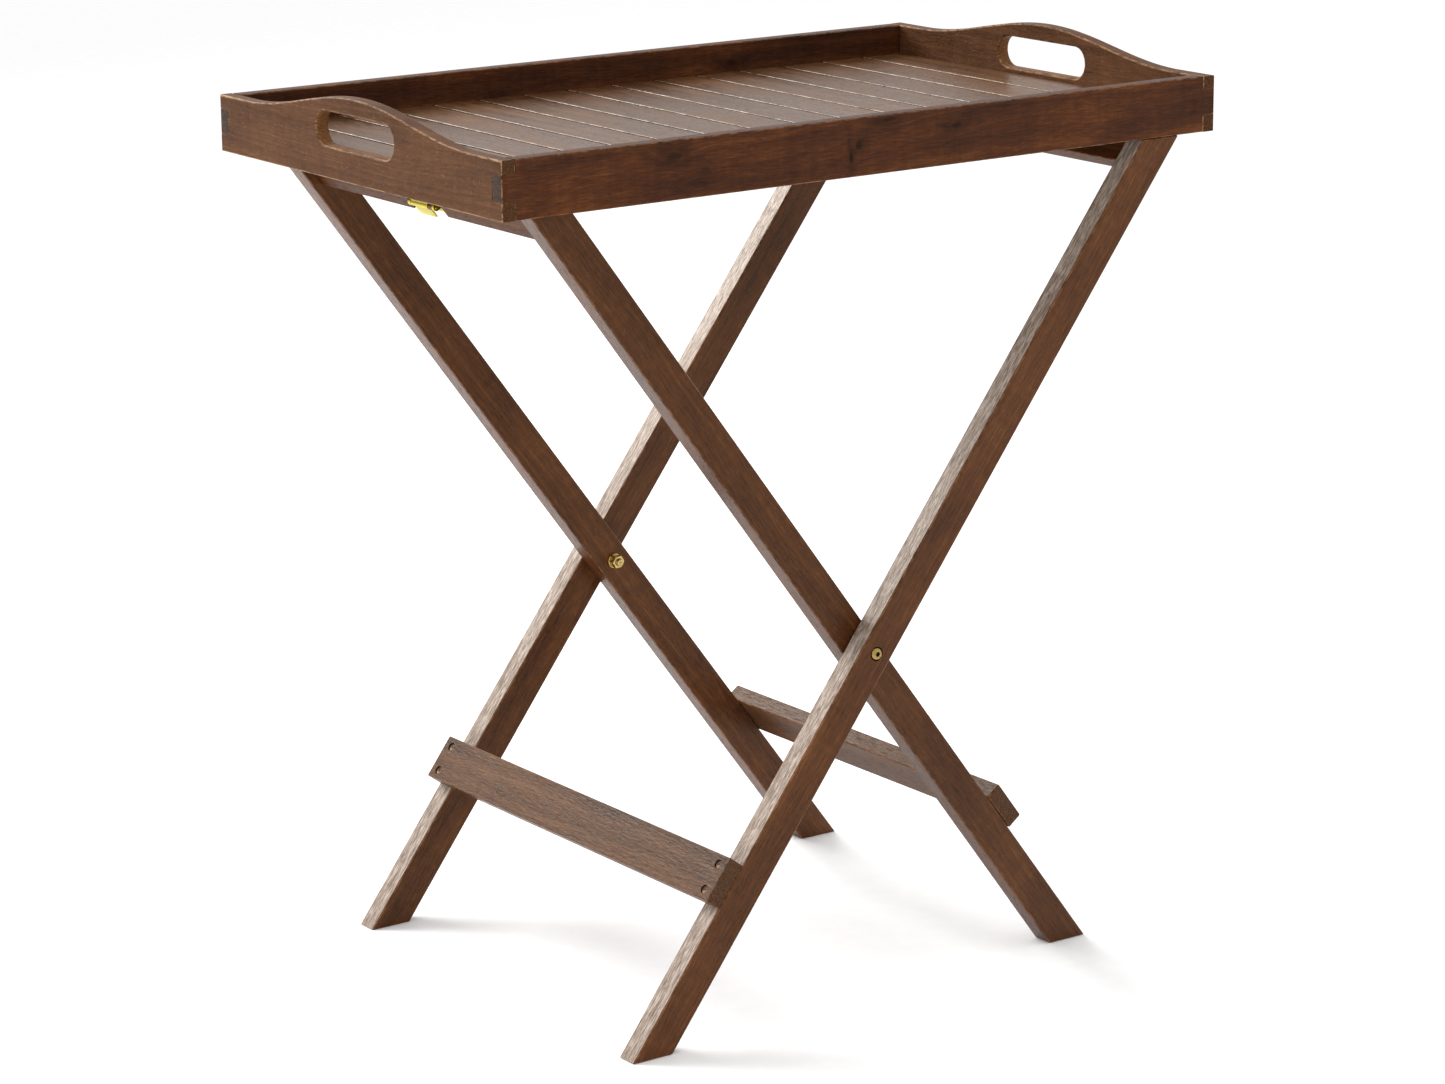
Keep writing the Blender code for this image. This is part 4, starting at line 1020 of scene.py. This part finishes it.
ear = [(PIN_STATION - EAR_HALF, base_face - 0.0002)] + [(PIN_STATION + EAR_HALF, base_face - 0.0002)]
ear += disc(EAR_HALF, 12, 0.0, math.pi, (PIN_STATION, lever_skin + EAR_PROUD - EAR_HALF))
base = carried_between([(base_low, base_back), (base_low, base_face), (base_low + BASE_HEIGHT, base_face),
                        (base_low + BASE_HEIGHT, base_back)], BASE_Y - BASE_LENGTH / 2, BASE_Y + BASE_LENGTH / 2)
lever_low, lever_high = LEVER_Y - LEVER_WIDTH / 2, LEVER_Y + LEVER_WIDTH / 2
base_front, base_rear = BASE_Y - BASE_LENGTH / 2, BASE_Y + BASE_LENGTH / 2
ears = [carried_between(ear, lever_high + EAR_INSET, base_rear - EAR_INSET),
        carried_between(ear, base_front + EAR_INSET, base_front + EAR_INSET + EAR_THICKNESS)]
holes = [carried_between(disc(PIN_RADIUS + JOINT_GAP), base_front - 0.003, base_rear + 0.003)]
screw_station = UPPER_BOTTOM + 0.0155
screw_places = [driven(-1, 0.005 + way * 0.0085, screw_station, base_face) for way in (-1, 1)]
for spot in screw_places:
    holes.append(moved(turned(countersink(0.0018, 0.0010, 0.0, 0.0009, 0.004), 24), spot))
mesh = eased(base, lambda spot: 0.00025, holes=holes, extras=ears)
fitted("catch_plate", mesh, in_rail, catch_finish, "inner_frame", "brass", "catch_base")
for name, spot in zip(("front", "rear"), screw_places):
    mesh = wood_screw(0.0015, 0.0007, 0.0008, 0.0060, 0.0006)
    fitted("catch_fixing_" + name, mesh, in_rail @ spot, catch_finish, "inner_frame", "brass", "catch_screw_" + name)

pin_reach = BASE_LENGTH / 2
pin = turned([(0.0, pin_reach), (PIN_RADIUS * 0.7, pin_reach - 0.0001), (PIN_RADIUS, pin_reach - 0.0004),
              (PIN_RADIUS, 0.0004 - pin_reach), (PIN_RADIUS * 0.7, 0.0001 - pin_reach), (0.0, -pin_reach)], 24)
pin_place = in_rail @ axes((BASE_Y, PIN_STATION, -pin_offset), (0, 1, 0), (0, 0, 1), (1, 0, 0))
fitted("catch_pivot_pin", pin, pin_place, catch_finish, "inner_frame", "brass", "catch_pin")

keeper_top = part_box("catch_keeper")[1].z
keeper_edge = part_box("catch_keeper")[1].x
nose_low = keeper_top + NOSE_LIFT
nose_high = nose_low + CATCH_SHEET
nose_tip = keeper_edge - NOSE_BITE


def world_to_section(x, z):
    """A world place (x, z) as (station, offset) on the inner frame."""
    local = in_rail.inverted() @ Vector((x, 0.0, z))
    return local.y, -local.z


tab_low = UPPER_BOTTOM - CATCH_TAB
lever = [(tab_low, lever_skin), (station_at(-1, nose_low, lever_skin), lever_skin),
         world_to_section(nose_tip, nose_low), world_to_section(nose_tip, nose_high),
         (station_at(-1, nose_high, lever_back), lever_back), (tab_low, lever_back)]
CORNER_CUT = 0.0036
wedge = slab([[(lever_high - CORNER_CUT, tab_low - 0.001), (lever_high + 0.001, tab_low - 0.001),
               (lever_high + 0.001, tab_low + CORNER_CUT)]], -0.02, 0.02)
barrel = carried_between(disc(BARREL_RADIUS), lever_low, lever_high)
bore = carried_between(disc(PIN_RADIUS + JOINT_GAP), lever_low - 0.003, lever_high + 0.003)
mesh = eased(carried_between(lever, lever_low, lever_high), lambda spot: 0.0003, holes=[wedge, bore],
             extras=[barrel])
fitted("catch_flap", mesh, in_rail, catch_finish, "catch_lever", "brass", "catch_lever")

wire = bpy.data.curves.new("spring_wire", "CURVE")
wire.dimensions = "3D"
wire.bevel_depth = 0.0004
wire.bevel_resolution = 2
wire.use_fill_caps = True
coil = wire.splines.new("POLY")
SPRING_TURNS, SPRING_STEPS = 5, 20
coil_radius = PIN_RADIUS + 0.0010
spring_start = lever_low - 0.0009
spring_end = base_front + EAR_INSET + EAR_THICKNESS + 0.0009
points = []
for index in range(SPRING_TURNS * SPRING_STEPS + 1):
    turn = 2 * math.pi * index / SPRING_STEPS
    y = spring_start + (spring_end - spring_start) * index / (SPRING_TURNS * SPRING_STEPS)
    points.append((y, PIN_STATION + coil_radius * math.cos(turn), -pin_offset + coil_radius * math.sin(turn)))
coil.points.add(len(points) - 1)
for point, place in zip(coil.points, points):
    point.co = (*place, 1.0)
guide = bpy.data.objects.new("guide", wire)
bpy.context.scene.collection.objects.link(guide)
mesh = worked(guide)
bpy.data.objects.remove(guide, do_unlink=True)
mesh.shade_smooth()
fitted("catch_coil", mesh, in_rail, screw_finish, "inner_frame", "screw_steel", "catch_spring")


# ---------------------------------------------------------------- floor, light and camera
# A pale seamless floor, a white room and two soft lamps; the camera stands in front, to the left.
def floor_material():
    """Matt white paper with the faintest tooth."""
    paper = Recipe("studio_paper")
    here = paper.add("TexCoord").outputs["Object"]
    tooth = paper.noise(here, (60.0, 60.0, 60.0), 4.0).outputs[0]
    paper.wire("Base Color", paper.tones(tooth, ((0.3, (0.96, 0.96, 0.96)), (0.7, (0.99, 0.99, 0.99)))))
    paper.wire("Normal", paper.add("Bump", {"Strength": 0.05, "Distance": 0.0005, "Height": tooth}).outputs[0])
    paper.constant({"Roughness": 0.9, "Specular IOR Level": 0.1})
    return paper.material


paper = bpy.data.meshes.new("studio_floor")
paper.from_pydata([(-8, -8, 0), (8, -8, 0), (8, 8, 0), (-8, 8, 0)], [], [(0, 1, 2, 3)])
paper.materials.append(floor_material())
studio_floor = bpy.data.objects.new("studio_floor", paper)
bpy.context.scene.collection.objects.link(studio_floor)

room = bpy.data.worlds.new("white_room")
room.use_nodes = True
room.node_tree.nodes["Background"].inputs["Color"].default_value = (1.0, 1.0, 1.0, 1.0)
room.node_tree.nodes["Background"].inputs["Strength"].default_value = 1.0
bpy.context.scene.world = room


def lamp(name, spot, target, wide, tall, watts):
    """A soft lamp aimed at a place."""
    light = bpy.data.lights.new(name, "AREA")
    light.shape = "RECTANGLE"
    light.size = wide
    light.size_y = tall
    light.energy = watts
    thing = bpy.data.objects.new(name, light)
    thing.location = spot
    thing.rotation_euler = (Vector(target) - Vector(spot)).to_track_quat("-Z", "Y").to_euler()
    thing.visible_camera = False
    bpy.context.scene.collection.objects.link(thing)


lamp("back_window", (-0.90, 2.50, 2.32), (0.0, 0.0, 0.5), 2.1, 1.55, 118.0)
lamp("left_softbox", (-3.2, -0.6, 2.0), (0.0, 0.0, 0.4), 1.6, 1.6, 8.0)

camera = bpy.data.cameras.new("camera")
camera.sensor_width = 36.0
camera.lens = 108.77
camera.clip_end = 60.0
viewer = bpy.data.objects.new("camera", camera)
bpy.context.scene.collection.objects.link(viewer)
CAMERA_AZIMUTH, CAMERA_ELEVATION, CAMERA_ROLL = 0.6212, -0.25084, -0.00735
aim = Vector((math.sin(CAMERA_AZIMUTH) * math.cos(CAMERA_ELEVATION),
              math.cos(CAMERA_AZIMUTH) * math.cos(CAMERA_ELEVATION), math.sin(CAMERA_ELEVATION)))
turned_camera = aim.to_track_quat("-Z", "Y").to_matrix() @ Matrix.Rotation(CAMERA_ROLL, 3, "Z")
viewer.matrix_world = Matrix.Translation((-2.0320, -2.8355, 1.2345)) @ turned_camera.to_4x4()
bpy.context.scene.camera = viewer
bpy.context.scene.view_settings.view_transform = "Standard"
